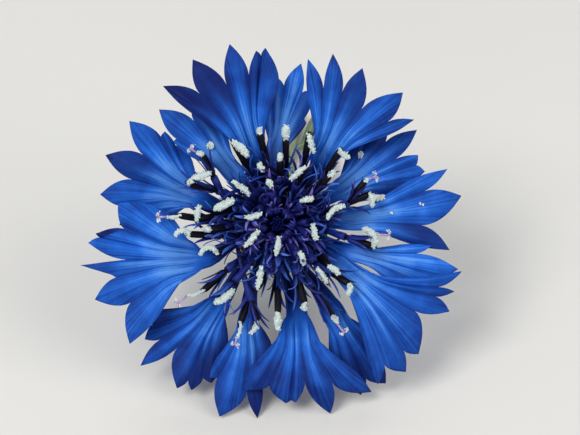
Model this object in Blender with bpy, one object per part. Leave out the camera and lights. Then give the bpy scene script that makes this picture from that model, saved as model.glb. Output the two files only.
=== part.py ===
"""Cornflower: one flower head with a short length of stem, picked and laid on a surface.

The head is modelled in its own frame, in which +Z is the face axis, +Y the top of the face,
and the origin the middle of the disc. An empty turns that frame so that the face looks up and
forwards, towards -Y, and sets it at the height where the lowest petal tips touch the surface.
The stem leaves the head backwards, bends down and lies along the surface.

Sizes are in millimetres and angles in degrees up to the last step, where MM turns a mesh into
metres.
"""

import math

import bpy
import numpy as np

MM = 0.001
SHARP_ANGLE = 50.0  # edges that turn more than this are shaded as sharp

# how the head lies
FACE_ELEVATION = 38.0

# heights along the face axis
FLORET_BASE_Z = -12.2
NECK_Z = -5.0
STEM_TOP_Z = -16.0

# ray florets: a rolled tube that opens into a lobed fan
RAY_BASE_RADIUS = 3.8
RAY_NECK_RADIUS = 3.85
RAY_LEAVING = (0.55, 0.83)  # a ray floret's way out of the neck: outwards and upwards
RAY_LEAVING_PULL = 0.7
RAY_FIRST_AZIMUTH = 12.0
RAY_TUBE_RADII = (0.42, 0.46, 0.50, 0.75)
RAY_THICKNESS = 0.25
RAY_SEAM = (0.8, 0.6)  # the seam's direction before it is squared up: upwards and inwards
RAY_RISE_POWER = 1.7
RAY_PLEAT = 0.22
RAY_OPENING = 0.5  # the share of the fan along which the tube's roundness dies away
RAY_FAN_ROWS = (0.1, 0.28, 0.52, 0.78, 1.0)
# each level of fans: the throat's and the rim's height, and how far the fan's sides lift
RAY_LEVELS = {
    "top": (0.2, 3.1, 0.5),
    "upper": (0.0, 2.4, 0.0),
    "middle": (-0.5, 1.7, 0.0),
    "low": (-1.2, 0.3, -0.5),
}
# each fan: throat (x, y), level, how far its tips bend down, half the throat's width, how narrow
# its two sides start as a share of their final spread, and its outline as seen from the throat,
# in which (direction, length) of a notch and of a lobe's tip take turns
RAY_FLORETS = (
    (
        (7.3, 0.4), "middle", 0.5, 1.0, (0.75, 0.75),
        ((-21, 8.0), (-15, 13.8), (-4, 10.0), (12, 15.1), (20, 10.9), (26, 14.5), (33, 8.0)),
    ),
    (
        (6.7, 3.6), "low", 0.3, 1.0, (0.75, 0.75),
        (
            (-6, 6.0), (3, 9.0), (8, 8.8), (13, 11.4), (19, 10.2), (24, 11.3), (29, 8.6), (38, 12.8),
            (46, 8.9), (53, 10.5), (60, 8.2), (66, 8.0), (78, 4.4),
        ),
    ),
    (
        (4.8, 6.9), "top", 0.6, 1.0, (0.75, 0.75),
        (
            (20, 8.3), (25, 12.8), (31, 9.9), (41, 13.5), (52, 8.6), (66, 12.9), (73, 9.4), (82, 13.6),
            (88, 9.2), (96, 12.9), (103, 7.4),
        ),
    ),
    (
        (-0.6, 7.4), "low", 0.3, 1.0, (0.75, 0.75),
        (
            (43, 3.9), (48, 6.4), (53, 6.6), (60, 10.0), (67, 9.2), (74, 12.5), (82, 9.4), (88, 10.4),
            (93, 8.8), (99, 10.2), (108, 5.5),
        ),
    ),
    (
        (-2.5, 7.4), "top", 0.6, 1.0, (0.75, 0.75),
        (
            (70, 8.8), (88, 13.6), (94, 10.4), (103, 14.5), (112, 10.0), (122, 14.5), (132, 10.7),
            (141, 14.5), (147, 9.0),
        ),
    ),
    (
        (-4.8, 5.4), "middle", 0.4, 1.0, (0.75, 0.75),
        (
            (99, 7.5), (107, 9.6), (113, 8.4), (120, 10.8), (127, 8.8), (139, 12.7), (148, 8.9),
            (152, 9.0), (159, 5.6),
        ),
    ),
    (
        (-9.4, 3.1), "low", 0.3, 1.0, (0.75, 0.75),
        (
            (90, 3.6), (103, 6.9), (109, 7.1), (115, 9.2), (120, 8.9), (132, 12.7), (142, 8.7),
            (155, 12.6), (165, 8.6), (178, 12.1), (189, 8.8), (200, 10.3), (206, 7.7), (213, 7.7),
            (224, 4.0),
        ),
    ),
    (
        (-9.4, -4.2), "top", 0.6, 1.3, (1.1, 0.75),
        (
            (126, 5.6), (146, 11.8), (158, 10.2), (171, 13.4), (180, 8.8), (183, 14.3), (192, 10.2),
            (201, 13.4), (214, 9.7), (232, 13.1), (241, 7.0),
        ),
    ),
    (
        (-6.7, -9.1), "low", 0.5, 1.0, (0.75, 0.75),
        (
            (184, 7.5), (190, 11.9), (197, 9.0), (206, 10.6), (211, 9.0), (219, 12.8), (226, 8.1),
            (243, 12.1), (247, 10.6), (251, 11.6), (257, 9.8), (264, 10.2), (287, 3.8),
        ),
    ),
    (
        (-3.5, -10.3), "middle", 0.2, 1.0, (0.75, 0.75),
        (
            (231, 6.8), (237, 9.4), (243, 9.0), (255, 13.3), (268, 9.8), (274, 13.1), (281, 9.0),
            (290, 8.6), (313, 3.4),
        ),
    ),
    (
        (2.3, -11.1), "top", 2.6, 1.5, (1.05, 0.72),
        (
            (226, 7.6), (234, 10.8), (247, 8.8), (262, 10.3), (277, 7.8), (289, 12.4), (299, 8.9),
            (315, 12.8), (321, 8.2),
        ),
    ),
    (
        (6.0, -9.6), "low", 0.5, 1.2, (0.8, 0.8),
        (
            (268, 6.5), (277, 10.2), (282, 9.6), (290, 11.8), (297, 10.2), (306, 12.0), (314, 9.4),
            (322, 10.4), (332, 6.0),
        ),
    ),
    (
        (6.6, -4.1), "top", 0.8, 1.0, (0.6, 0.15),
        (
            (287, 11.0), (290, 16.3), (295, 14.4), (303, 16.5), (307, 14.2), (312, 15.7), (328, 12.0),
            (336, 15.7), (342, 13.4), (346, 15.4), (349, 13.3), (355, 15.8), (358, 12.2),
        ),
    ),
    (
        (8.4, -3.0), "upper", 0.6, 0.9, (0.6, 0.75),
        (
            (317, 7.8), (326, 9.6), (333, 9.4), (341, 11.0), (346, 10.9), (351, 13.5), (359, 8.2),
            (365, 10.1), (370, 6.4),
        ),
    ),
)

# disc florets: a tube, a flared mouth, an anther tube and a cap of pollen
DISC_SIDES = 6
DISC_RISE_PULL = 1.3  # how long a disc floret keeps straight up out of the neck
DISC_LIFT = np.array([0.0, 0.0, 0.5])  # bends the way out of a mouth towards the face axis
DISC_TIP_HEIGHT = 5.9
DISC_TIP_FALL = 0.22  # how much lower a tip is for each millimetre that it stands further out
DISC_ARRIVAL = np.array([1.1, 1.1, 0.5])  # flattens a floret's last stretch
# places along a disc floret, from its base to the tip of its pollen, with the radius there
DISC_PROFILE = (
    (0.0, 0.28),
    (0.38, 0.28),
    (0.56, 0.30),
    (0.66, 0.50),
    (0.70, 0.40),
    (0.84, 0.42),
    (0.95, 0.46),
    (1.0, 0.30),
)
DISC_RING_RADII = (0.95, 1.8, 2.65)
DISC_MOUTHS = ((2.3, 0.4), (4.0, 0.0), (5.4, -0.5))  # each ring's mouths: radius and height
DISC_FIRST_AZIMUTHS = (41.0, 0.0, 14.0)
# each ring's tips as (azimuth, radius)
DISC_TIPS = (
    ((41, 4.4), (101, 4.8), (160, 2.9), (208, 3.4), (270, 2.4), (306, 4.8), (350, 4.4)),
    (
        (12, 6.9), (43, 8.9), (69, 6.4), (88, 8.1), (135, 6.0), (159, 6.7),
        (184, 8.6), (202, 9.1), (234, 10.6), (251, 6.6), (288, 10.4), (311, 7.9),
    ),
    (
        (14, 11.5), (46, 11.5), (67, 10.3), (85, 11.1), (101, 11.4), (116, 9.9),
        (149, 10.8), (171, 9.6), (176, 12.6), (186, 11.6), (220, 12.9), (250, 13.6),
        (270, 11.7), (301, 13.4), (317, 11.6), (321, 8.7), (352, 11.0),
    ),
)

# turned pieces, as (radius, height) from the axis at the bottom to the axis at the top
TURNED_SIDES = 24
RECEPTACLE_PROFILE = ((0, -15.5), (1.7, -15.5), (3.0, -14.6), (4.1, -13.3), (4.2, -12.6), (0, -12.5))
CLOSED_FLORETS_PROFILE = (
    (0, -12.2), (0.42, -12.2), (0.42, -5.0), (0.8, -2.0),
    (1.35, 0.0), (1.3, 0.8), (0.7, 1.2), (0, 0.9),
)

# bract rows: cups one outside the other, from the innermost, each with a rim of points
BRACT_THICKNESS = 0.22
BRACT_PITCH = 0.50
BRACT_COLUMNS = 3  # on each bract
BRACT_POINT = 1.5  # how far a bract's tip stands above the notches beside it
BRACT_RIM = 0.15  # the least height of the rim above the last full ring
BRACT_SHARPNESS = 0.99  # 1 would bring a bract's outline square to the notches
# the innermost cup's middle surface, as (radius, height) from its lower rim
CUP_PROFILE = (
    (1.35, -16.3), (2.2, -15.9), (3.5, -14.9), (4.7, -13.2),
    (5.2, -11.2), (5.15, -8.6), (4.95, -6.2), (5.1, -4.6),
)
# each row, outermost first: number of bracts and the height of their tips
BRACT_RING = ((8, -12.1), (9, -10.2), (10, -7.5), (11, -4.9))

# stem: straight behind the head, then an arc down to the surface, then lying along it
STEM_RADIUS = 1.1
# the end inside the cups and the swelling under them: distance from the top and radius
STEM_NECK = ((0.0, 0.95), (1.7, 0.95), (1.95, 1.75), (3.2, 1.3))
STEM_LYING = 18.0
STEM_SWAY = 2.4  # how far sideways the lying end has drifted
STEM_SIDES = 10
STEM_ARC_POINTS = 9

# stem leaves: place along the surface, side, heading from the stem's line, length, width, arch
LEAF_THICKNESS = 0.35
LEAF_GAP = 0.2  # between the stem and a leaf
LEAF_CLEARANCE = 0.02  # between the surface and a leaf
LEAF_ROWS = 9
LEAF_COLUMNS = (-1.0, -0.5, 0.0, 0.5, 1.0)
LEAF_OUTLINE = (0.35, 1.3, 2.2)  # width at the base, widening, and how late the tip closes
LEAF_TIP = 0.12  # half the tip's width
LEAF_CHANNEL = 0.2  # how deep the blade's channel is, as a share of half its width
STEM_LEAVES = (
    (24.0, 1, 34.0, 17.0, 2.6, 2.2),
    (31.5, -1, 28.0, 18.0, 2.8, 2.6),
    (38.0, 1, 24.0, 11.0, 2.0, 1.6),
)

SIN_FACE = math.sin(math.radians(FACE_ELEVATION))
COS_FACE = math.cos(math.radians(FACE_ELEVATION))


def clear_scene():
    """Removes every object of the open scene."""
    for old in list(bpy.data.objects):
        bpy.data.objects.remove(old, do_unlink=True)


def make_material(name, colour, roughness):
    """Gives a Principled material of one colour."""
    material = bpy.data.materials.new(name)
    material.use_nodes = True
    shader = material.node_tree.nodes["Principled BSDF"]
    shader.inputs["Base Color"].default_value = (*colour, 1.0)
    shader.inputs["Roughness"].default_value = roughness
    shader.inputs["Metallic"].default_value = 0.0
    return material


def make_object(name, points, faces, material, parent):
    """Makes a mesh object from points in millimetres in its parent's frame."""
    mesh = bpy.data.meshes.new(name)
    mesh.from_pydata((np.asarray(points, dtype=float) * MM).tolist(), [], faces)
    mesh.materials.append(material)
    mesh.update()
    mesh.shade_smooth()
    mesh.set_sharp_from_angle(angle=math.radians(SHARP_ANGLE))
    piece = bpy.data.objects.new(name, mesh)
    bpy.context.scene.collection.objects.link(piece)
    piece.parent = parent
    return piece


def make_empty(name, parent):
    """Makes an empty that carries other objects."""
    empty = bpy.data.objects.new(name, None)
    bpy.context.scene.collection.objects.link(empty)
    empty.parent = parent
    return empty


def thicken(piece, thickness):
    """Turns a sheet into a closed solid, half of its wall on each side."""
    solidify = piece.modifiers.new("wall", "SOLIDIFY")
    solidify.thickness = thickness * MM
    solidify.offset = 0.0


def unit(vectors):
    """Scales vectors, held in the last axis, to length one."""
    return vectors / np.linalg.norm(vectors, axis=-1, keepdims=True)


def smoothstep(x):
    """Rises smoothly from 0 at x = 0 to 1 at x = 1, and stays there."""
    x = np.clip(x, 0.0, 1.0)
    return x * x * (3.0 - 2.0 * x)


def polar(radius, azimuth, height):
    """Gives the point at a radius, an azimuth in degrees and a height."""
    angle = math.radians(azimuth)
    return np.array([radius * math.cos(angle), radius * math.sin(angle), height])


def hermite(start, start_slope, end, end_slope, t):
    """Gives points of the cubic from start to end with those slopes, at the places t."""
    t = np.asarray(t, dtype=float)[:, None]
    return (
        (2 * t**3 - 3 * t**2 + 1) * start
        + (t**3 - 2 * t**2 + t) * start_slope
        + (3 * t**2 - 2 * t**3) * end
        + (t**3 - t**2) * end_slope
    )


def grid_faces(rows, columns, closed=False):
    """Lists the quads of a grid of points held row by row; a closed grid joins its last column
    to its first."""
    faces = []
    for row in range(rows - 1):
        for column in range(columns if closed else columns - 1):
            after = (column + 1) % columns
            faces.append(
                (
                    row * columns + column,
                    row * columns + after,
                    (row + 1) * columns + after,
                    (row + 1) * columns + column,
                )
            )
    return faces


def make_tube(name, path, radii, sides, material, parent, across=(1.0, 0.0, 0.0)):
    """Makes a closed tube with flat ends: a circle of each radius, square to the path."""
    path = np.asarray(path, dtype=float)
    forward = unit(np.gradient(path, axis=0))
    side = unit(np.array(across) - forward * (forward @ np.array(across))[:, None])
    up = np.cross(forward, side)
    turn = np.radians(np.arange(sides) * 360.0 / sides)
    radii = np.asarray(radii, dtype=float)[:, None, None]
    ring = side[:, None] * np.cos(turn)[None, :, None] + up[:, None] * np.sin(turn)[None, :, None]
    points = (path[:, None] + radii * ring).reshape(-1, 3)
    faces = grid_faces(len(path), sides, closed=True)
    faces.append(tuple(reversed(range(sides))))
    faces.append(tuple(range((len(path) - 1) * sides, len(path) * sides)))
    return make_object(name, points, faces, material, parent)


def make_turned(name, profile, material, parent):
    """Turns a profile, which starts and ends on the axis, about the face axis."""
    bottom, top = profile[0][1], profile[-1][1]
    step = 360.0 / TURNED_SIDES
    rings = [polar(radius, k * step, z) for radius, z in profile[1:-1] for k in range(TURNED_SIDES)]
    points = [(0, 0, bottom), *rings, (0, 0, top)]
    faces = [
        tuple(corner + 1 for corner in face)
        for face in grid_faces(len(profile) - 2, TURNED_SIDES, closed=True)
    ]
    last = 1 + (len(profile) - 3) * TURNED_SIDES
    for k in range(TURNED_SIDES):
        after = (k + 1) % TURNED_SIDES
        faces.append((0, 1 + after, 1 + k))
        faces.append((len(points) - 1, last + k, last + after))
    return make_object(name, points, faces, material, parent)


# ---- ray florets ----


def ray_columns(outline):
    """Gives, for each column of a fan, its direction, its length, the length of the notches
    beside it, and whether it is a lobe's middle, 0, or a notch, 1."""
    angle, reach = np.array(outline, dtype=float).T
    notch = np.arange(len(angle)) % 2 == 0
    cut = reach.copy()
    cut[1::2] = (reach[0:-1:2] + reach[2::2]) / 2.0
    return angle, reach, cut, notch.astype(float)


def ray_tube(index, throat, slope):
    """Gives a ray floret's path from its base through the neck to its throat, one point for
    each radius in RAY_TUBE_RADII, with the direction at each."""
    azimuth = RAY_FIRST_AZIMUTH + index * 360.0 / len(RAY_FLORETS)
    base = polar(RAY_BASE_RADIUS, azimuth, FLORET_BASE_Z)
    neck = polar(RAY_NECK_RADIUS, azimuth, NECK_Z)
    reach = np.linalg.norm(throat - neck)
    leaving = polar(RAY_LEAVING[0], azimuth, RAY_LEAVING[1]) * reach * RAY_LEAVING_PULL
    places = np.linspace(0.0, 1.0, len(RAY_TUBE_RADII) - 1)
    path = np.vstack([base, hermite(neck, leaving, throat, slope * reach, places)])
    forward = np.gradient(path, axis=0)
    forward[0] = neck - base
    forward[1] = unit(neck - base) + unit(leaving)
    forward[-1] = slope
    return path, unit(forward)


def ray_sheet(index, floret):
    """Gives the middle surface of a ray floret, as rows of points from its base to its rim."""
    (throat_x, throat_y), level, droop, mouth, flares, outline = floret
    throat_z, rim_z, side_lift = RAY_LEVELS[level]
    throat = np.array([throat_x, throat_y, throat_z])
    angle, reach, cut, offset = ray_columns(outline)
    longest = reach.max()
    middle = (angle[0] + angle[-1]) / 2
    rise = rim_z - throat_z
    heading = polar(longest, middle, RAY_RISE_POWER * rise)
    slope = unit(heading)

    # the tube: circles whose seam faces the head's axis
    path, forward = ray_tube(index, throat, slope)
    outward = polar(1.0, math.degrees(math.atan2(throat_y, throat_x)), 0.0)
    inner = np.array([0.0, 0.0, RAY_SEAM[0]]) - RAY_SEAM[1] * outward
    seam = unit(inner - forward * (forward @ inner)[:, None])
    side = np.cross(seam, forward)
    side[-1] *= mouth / RAY_TUBE_RADII[-1]
    around = np.linspace(-math.pi, math.pi, len(angle))
    radii = np.array(RAY_TUBE_RADII)[:, None, None]
    circle = -np.cos(around)[None, :, None] * seam[:, None] + np.sin(around)[None, :, None] * side[:, None]
    tube = path[:, None] + radii * circle

    # the fan: each column runs straight out, and the tube's roundness dies away along it
    out = np.array(RAY_FAN_ROWS)[:, None]
    far = out * reach[None, :]
    share = far / longest
    across = 2.0 * (angle - angle[0]) / (angle[-1] - angle[0]) - 1.0
    flare = np.interp(across, (-1.0, 1.0), flares)[None, :]
    spread = flare + (1.0 - flare) * share
    bearing = np.radians(middle + (angle[None, :] - middle) * spread)
    lift = rise * (1.0 - (1.0 - share) ** RAY_RISE_POWER)
    lift = lift + side_lift * across[None, :] ** 2 * np.sin(math.pi * share)
    lift = lift + RAY_PLEAT * np.cos(math.pi * offset)[None, :] * np.sin(math.pi * np.sqrt(share) ** 3)
    beyond = np.clip((far - cut[None, :]) / (longest - cut[None, :]), 0.0, 1.0)
    lift = lift - droop * beyond**1.5
    fan = np.stack([far * np.cos(bearing), far * np.sin(bearing), lift], axis=-1) + throat
    fan = fan + (1.0 - smoothstep(out / RAY_OPENING))[..., None] * radii[-1] * circle[-1][None, :]
    return np.concatenate([tube, fan])


def make_ray_floret(index, sheet, material, parent):
    """Makes a ray floret: its tube is closed along the seam, and its fan is open."""
    rows, columns = sheet.shape[:2]
    tube_rows = len(RAY_TUBE_RADII)
    tube = sheet[:tube_rows, :-1].reshape(-1, 3)
    fan = sheet[tube_rows:].reshape(-1, 3)
    faces = grid_faces(tube_rows, columns - 1, closed=True)
    first_fan = len(tube)
    last_tube = first_fan - (columns - 1)
    for column in range(columns - 1):
        after = (column + 1) % (columns - 1)
        faces.append((last_tube + column, last_tube + after, first_fan + column + 1, first_fan + column))
    faces += [
        tuple(corner + first_fan for corner in face) for face in grid_faces(rows - tube_rows, columns)
    ]
    name = f"ray_floret_{index + 1:02d}"
    piece = make_object(name, np.vstack([tube, fan]), faces, material, parent)
    thicken(piece, RAY_THICKNESS)
    return piece


# ---- disc florets ----


def disc_path(ring, index, azimuth, radius):
    """Gives a disc floret's path from its base, through the neck and its mouth, to its tip."""
    count = len(DISC_TIPS[ring])
    base_azimuth = DISC_FIRST_AZIMUTHS[ring] + index * 360.0 / count
    mouth_radius, mouth_z = DISC_MOUTHS[ring]
    mouth_azimuth = (base_azimuth + azimuth) / 2
    base = polar(DISC_RING_RADII[ring], base_azimuth, FLORET_BASE_Z)
    neck = polar(DISC_RING_RADII[ring], base_azimuth, NECK_Z)
    mouth = polar(mouth_radius, mouth_azimuth, mouth_z)
    tip = polar(radius, azimuth, DISC_TIP_HEIGHT - DISC_TIP_FALL * radius)
    straight = np.array([0.0, 0.0, DISC_RISE_PULL]) * np.linalg.norm(mouth - neck)
    opening = unit(unit(mouth - neck) + unit(tip - mouth) + DISC_LIFT)
    lower_slope = opening * np.linalg.norm(mouth - neck)
    upper_slope = opening * np.linalg.norm(tip - mouth)
    arriving = (tip - mouth) * DISC_ARRIVAL
    mouth_place, neck_place = DISC_PROFILE[3][0], DISC_PROFILE[1][0]
    places = np.array([place for place, _ in DISC_PROFILE])
    low = (places[1:4] - neck_place) / (mouth_place - neck_place)
    high = (places[4:] - mouth_place) / (1.0 - mouth_place)
    lower = hermite(neck, straight, mouth, lower_slope, low)
    upper = hermite(mouth, upper_slope, tip, arriving, high)
    return np.vstack([base, lower, upper])


def make_disc_florets(material, parent):
    """Makes the three rings of disc florets, the innermost first."""
    number = 0
    radii = [radius for _, radius in DISC_PROFILE]
    for ring, tips in enumerate(DISC_TIPS):
        for index, (azimuth, radius) in enumerate(tips):
            number += 1
            path = disc_path(ring, index, azimuth, radius)
            make_tube(f"disc_floret_{number:02d}", path, radii, DISC_SIDES, material, parent)


# ---- bract rows ----


def cup_surface(outset):
    """Gives the cup's profile moved outwards by outset."""
    profile = np.array(CUP_PROFILE, dtype=float)
    along = unit(np.gradient(profile, axis=0))
    outward = np.stack([along[:, 1], -along[:, 0]], axis=-1)
    return profile + outset * outward


def make_bract_row(row, count, tip_z, material, parent):
    """Makes one row of bracts: a cup with a rim of count points."""
    outset = (len(BRACT_RING) - 1 - row) * BRACT_PITCH
    profile = cup_surface(outset)
    columns = count * BRACT_COLUMNS
    turn = (np.arange(columns) + 0.5 * BRACT_COLUMNS * row) / columns
    from_middle = np.abs(2.0 * ((np.arange(columns) % BRACT_COLUMNS) / BRACT_COLUMNS) - 1.0)
    top = tip_z - BRACT_POINT * (1.0 - np.sqrt(1.0 - from_middle * BRACT_SHARPNESS))
    rings = profile[profile[:, 1] < top.min() - BRACT_RIM]
    height = np.vstack([np.repeat(rings[:, 1:], columns, axis=1), top])
    radius = np.interp(height, profile[:, 1], profile[:, 0])
    angle = 2.0 * math.pi * turn
    points = np.stack([radius * np.cos(angle), radius * np.sin(angle), height], axis=-1)
    faces = grid_faces(len(height), columns, closed=True)
    piece = make_object(f"phyllary_row_{row + 1}", points.reshape(-1, 3), faces, material, parent)
    thicken(piece, BRACT_THICKNESS)


# ---- stem and leaves ----


def to_surface_frame(point, head_height):
    """Turns a point of the head's frame into the frame of the surface that the flower lies on."""
    x, y, z = point
    return np.array([x, SIN_FACE * y - COS_FACE * z, COS_FACE * y + SIN_FACE * z + head_height])


def stem_path(head_height):
    """Gives the stem's path: straight back from the head, an arc down, then along the surface."""
    top = to_surface_frame((0.0, 0.0, STEM_TOP_Z), head_height)
    back = np.array([0.0, COS_FACE, -SIN_FACE])
    neck = np.array([top + distance * back for distance, _ in STEM_NECK])
    bend = neck[-1]
    arc_radius = (bend[2] - STEM_RADIUS) / (1.0 - COS_FACE)
    turn = np.radians(np.linspace(FACE_ELEVATION, 0.0, STEM_ARC_POINTS))
    run = arc_radius * (SIN_FACE - np.sin(turn))
    drop = arc_radius * (np.cos(turn) - COS_FACE)
    arc = np.stack([0.0 * turn, bend[1] + run, bend[2] - drop], axis=-1)
    lying = arc[-1] + np.outer(np.linspace(0.25, 1.0, 4), (0.0, STEM_LYING, 0.0))
    path = np.vstack([neck, arc[1:], lying])
    share = (path[:, 1] - bend[1]).clip(0.0) / (path[-1, 1] - bend[1])
    path[:, 0] = STEM_SWAY * share**2
    return path


def make_leaf(number, path, leaf, material, parent):
    """Makes a narrow pointed leaf: it leaves the stem's side, arches and comes down on the
    surface, and its blade is a shallow channel."""
    place, side, heading, length, width, arch = leaf
    along = np.linspace(0.0, 1.0, LEAF_ROWS)[:, None]
    across = np.array(LEAF_COLUMNS)[None, :]
    stem_x = np.interp(place, path[:, 1], path[:, 0])
    stem_z = np.interp(place, path[:, 1], path[:, 2])
    base, widening, closing = LEAF_OUTLINE
    closed = np.sqrt(np.clip(1.0 - along**closing, 0.0, 1.0))
    half = 0.5 * width * (base + widening * along) * closed + LEAF_TIP
    start_x = stem_x + side * (STEM_RADIUS + LEAF_GAP)
    bearing = math.radians(heading) * (1.0 - 0.5 * along)
    run = length * along
    x = start_x + side * (np.sin(bearing) * run + np.cos(bearing) * (across * half * side + half[0]))
    y = place + np.cos(bearing) * run - np.sin(bearing) * across * half
    floor = 0.5 * LEAF_THICKNESS + LEAF_CLEARANCE
    z = floor + (stem_z - floor) * (1.0 - along) ** 2 + arch * np.sin(math.pi * along)
    z = z + LEAF_CHANNEL * half * across**2
    points = np.stack(np.broadcast_arrays(x, y, z), axis=-1).reshape(-1, 3)
    faces = grid_faces(LEAF_ROWS, len(LEAF_COLUMNS))
    piece = make_object(f"stem_leaf_{number}", points, faces, material, parent)
    thicken(piece, LEAF_THICKNESS)


def centre_on_surface(root):
    """Moves the whole flower so that the middle of its box's underside is the origin."""
    bpy.context.view_layer.update()
    graph = bpy.context.evaluated_depsgraph_get()
    low, high = np.full(3, np.inf), np.full(3, -np.inf)
    for piece in bpy.data.objects:
        if piece.type != "MESH":
            continue
        solid = piece.evaluated_get(graph)
        corners = np.array([solid.matrix_world @ vertex.co for vertex in solid.data.vertices])
        low, high = np.minimum(low, corners.min(axis=0)), np.maximum(high, corners.max(axis=0))
    root.location = (-(low[0] + high[0]) / 2, -(low[1] + high[1]) / 2, -low[2])


def main():
    """Builds every piece, in the head's frame or in the surface's."""
    clear_scene()
    petal = make_material("petal_blue", (0.03, 0.12, 0.62), 0.55)
    disc = make_material("floret_indigo", (0.02, 0.015, 0.12), 0.5)
    bract = make_material("bract_green", (0.12, 0.19, 0.07), 0.6)
    pith = make_material("receptacle_cream", (0.55, 0.58, 0.38), 0.7)
    stem_green = make_material("stem_green", (0.17, 0.25, 0.12), 0.6)
    leaf_green = make_material("leaf_green", (0.15, 0.24, 0.12), 0.6)

    root = make_empty("flower", None)
    sheets = [ray_sheet(index, floret) for index, floret in enumerate(RAY_FLORETS)]
    rims = np.concatenate([sheet.reshape(-1, 3) for sheet in sheets])
    lowest = (COS_FACE * rims[:, 1] + SIN_FACE * rims[:, 2]).min()
    head_height = 0.5 * RAY_THICKNESS - lowest
    head = make_empty("head", root)
    head.rotation_euler = (math.radians(90.0 - FACE_ELEVATION), 0.0, 0.0)
    head.location = (0.0, 0.0, head_height * MM)

    for index, sheet in enumerate(sheets):
        make_ray_floret(index, sheet, petal, head)
    make_disc_florets(disc, head)
    make_turned("closed_florets", CLOSED_FLORETS_PROFILE, disc, head)
    make_turned("receptacle", RECEPTACLE_PROFILE, pith, head)
    for row, (count, tip_z) in enumerate(BRACT_RING):
        make_bract_row(row, count, tip_z, bract, head)

    path = stem_path(head_height)
    radii = np.full(len(path), STEM_RADIUS)
    radii[: len(STEM_NECK)] = [radius for _, radius in STEM_NECK]
    make_tube("stem", path, radii, STEM_SIDES, stem_green, root)
    for number, leaf in enumerate(STEM_LEAVES, start=1):
        make_leaf(number, path, leaf, leaf_green, root)
    centre_on_surface(root)


main()
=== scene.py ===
"""Looks of a cornflower: one flower head on a short stem, picked and laid on a surface.

Sizes are millimetres in the head's own frame, in which +Z is the face axis, +Y the top of the
face and the origin the middle of the disc. HeadFrame turns them into the row's metres. Angles
are degrees, counted from +X towards +Y.
"""

import logging
import math
from collections.abc import Callable
from dataclasses import dataclass, field
from enum import Enum
from functools import cached_property

import bpy
import numpy as np
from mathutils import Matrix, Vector


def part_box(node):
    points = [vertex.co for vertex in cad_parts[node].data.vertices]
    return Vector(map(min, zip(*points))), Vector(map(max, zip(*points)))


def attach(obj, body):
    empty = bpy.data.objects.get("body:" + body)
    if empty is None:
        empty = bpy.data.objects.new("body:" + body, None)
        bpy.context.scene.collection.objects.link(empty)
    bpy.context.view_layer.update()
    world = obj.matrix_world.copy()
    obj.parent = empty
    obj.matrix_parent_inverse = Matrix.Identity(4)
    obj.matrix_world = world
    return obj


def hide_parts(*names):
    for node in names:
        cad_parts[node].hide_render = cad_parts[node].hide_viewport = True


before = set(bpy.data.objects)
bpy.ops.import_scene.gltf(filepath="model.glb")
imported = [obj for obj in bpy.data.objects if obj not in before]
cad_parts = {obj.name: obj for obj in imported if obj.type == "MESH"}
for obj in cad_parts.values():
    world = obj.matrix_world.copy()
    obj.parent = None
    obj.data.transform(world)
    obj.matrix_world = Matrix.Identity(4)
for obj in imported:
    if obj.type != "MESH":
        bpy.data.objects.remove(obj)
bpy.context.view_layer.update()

LOG = logging.getLogger("cornflower")
MM = 0.001
BODY = "root"

X_AXIS = (1.0, 0.0, 0.0)
Z_AXIS = np.array([0.0, 0.0, 1.0])

Array = np.ndarray
Generator = np.random.Generator
Material = bpy.types.Material
Node = bpy.types.Node
Socket = bpy.types.NodeSocket
Colour = tuple[float, float, float]
Place = tuple[float, float, float]
Outline = tuple[tuple[float, ...], ...]
Pair = tuple[float, float]

# how the head stands, and the heights along its axis that all florets share
FACE_ELEVATION = 38.0
FLORET_BASE_Z = -12.2
NECK_Z = -5.0
RECEPTACLE_PROFILE = ((1.7, -15.5), (3.0, -14.6), (4.1, -13.3), (4.2, -12.6), (0.0, -12.5))


# ---- arithmetic on arrays ----


def unit(vectors: Array) -> Array:
    """Scales vectors, held in the last axis, to length one."""
    return vectors / np.linalg.norm(vectors, axis=-1, keepdims=True)


def evenly(count: int) -> Array:
    """Gives this many evenly spaced values from 0 to 1."""
    return np.linspace(0.0, 1.0, count)


def smoothstep(x: Array) -> Array:
    """Rises smoothly from 0 at x = 0 to 1 at x = 1, as 3x² − 2x³, and stays there."""
    x = np.clip(x, 0.0, 1.0)
    return x * x * (3.0 - 2.0 * x)


def polar(radius: float, azimuth: float, height: float) -> Array:
    """Gives the point at a radius, an azimuth in degrees and a height."""
    angle = math.radians(azimuth)
    return np.array([radius * math.cos(angle), radius * math.sin(angle), height])


def hermite(start: Array, start_slope: Array, end: Array, end_slope: Array, t: Array) -> Array:
    """Gives points of the cubic between two points with a given slope at each.

    Args:
        start: First point.
        start_slope: Slope there, per unit of t.
        end: Last point.
        end_slope: Slope there.
        t: Places from 0 to 1.

    Returns:
        One point for each place.
    """
    t = t[:, None]
    return (
        (2 * t**3 - 3 * t**2 + 1) * start
        + (t**3 - 2 * t**2 + t) * start_slope
        + (3 * t**2 - 2 * t**3) * end
        + (t**3 - t**2) * end_slope
    )


def distances(line: Array) -> Array:
    """Gives how far along a line each of its points lies."""
    return np.concatenate([[0.0], np.cumsum(np.linalg.norm(np.diff(line, axis=0), axis=1))])


def resample(line: Array, along: Array, start: float, stop: float, rows: int) -> Array:
    """Gives this many evenly spaced points of a line between two distances along it."""
    places = np.linspace(start, stop, rows)
    return np.stack([np.interp(places, along, values) for values in line.T], axis=-1)


def smoothed(line: Array, width: int) -> Array:
    """Gives the means of a line's points over every run of this many."""
    soft = np.ones(width) / width
    return np.stack([np.convolve(values, soft, "valid") for values in line.T], axis=-1)


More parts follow.
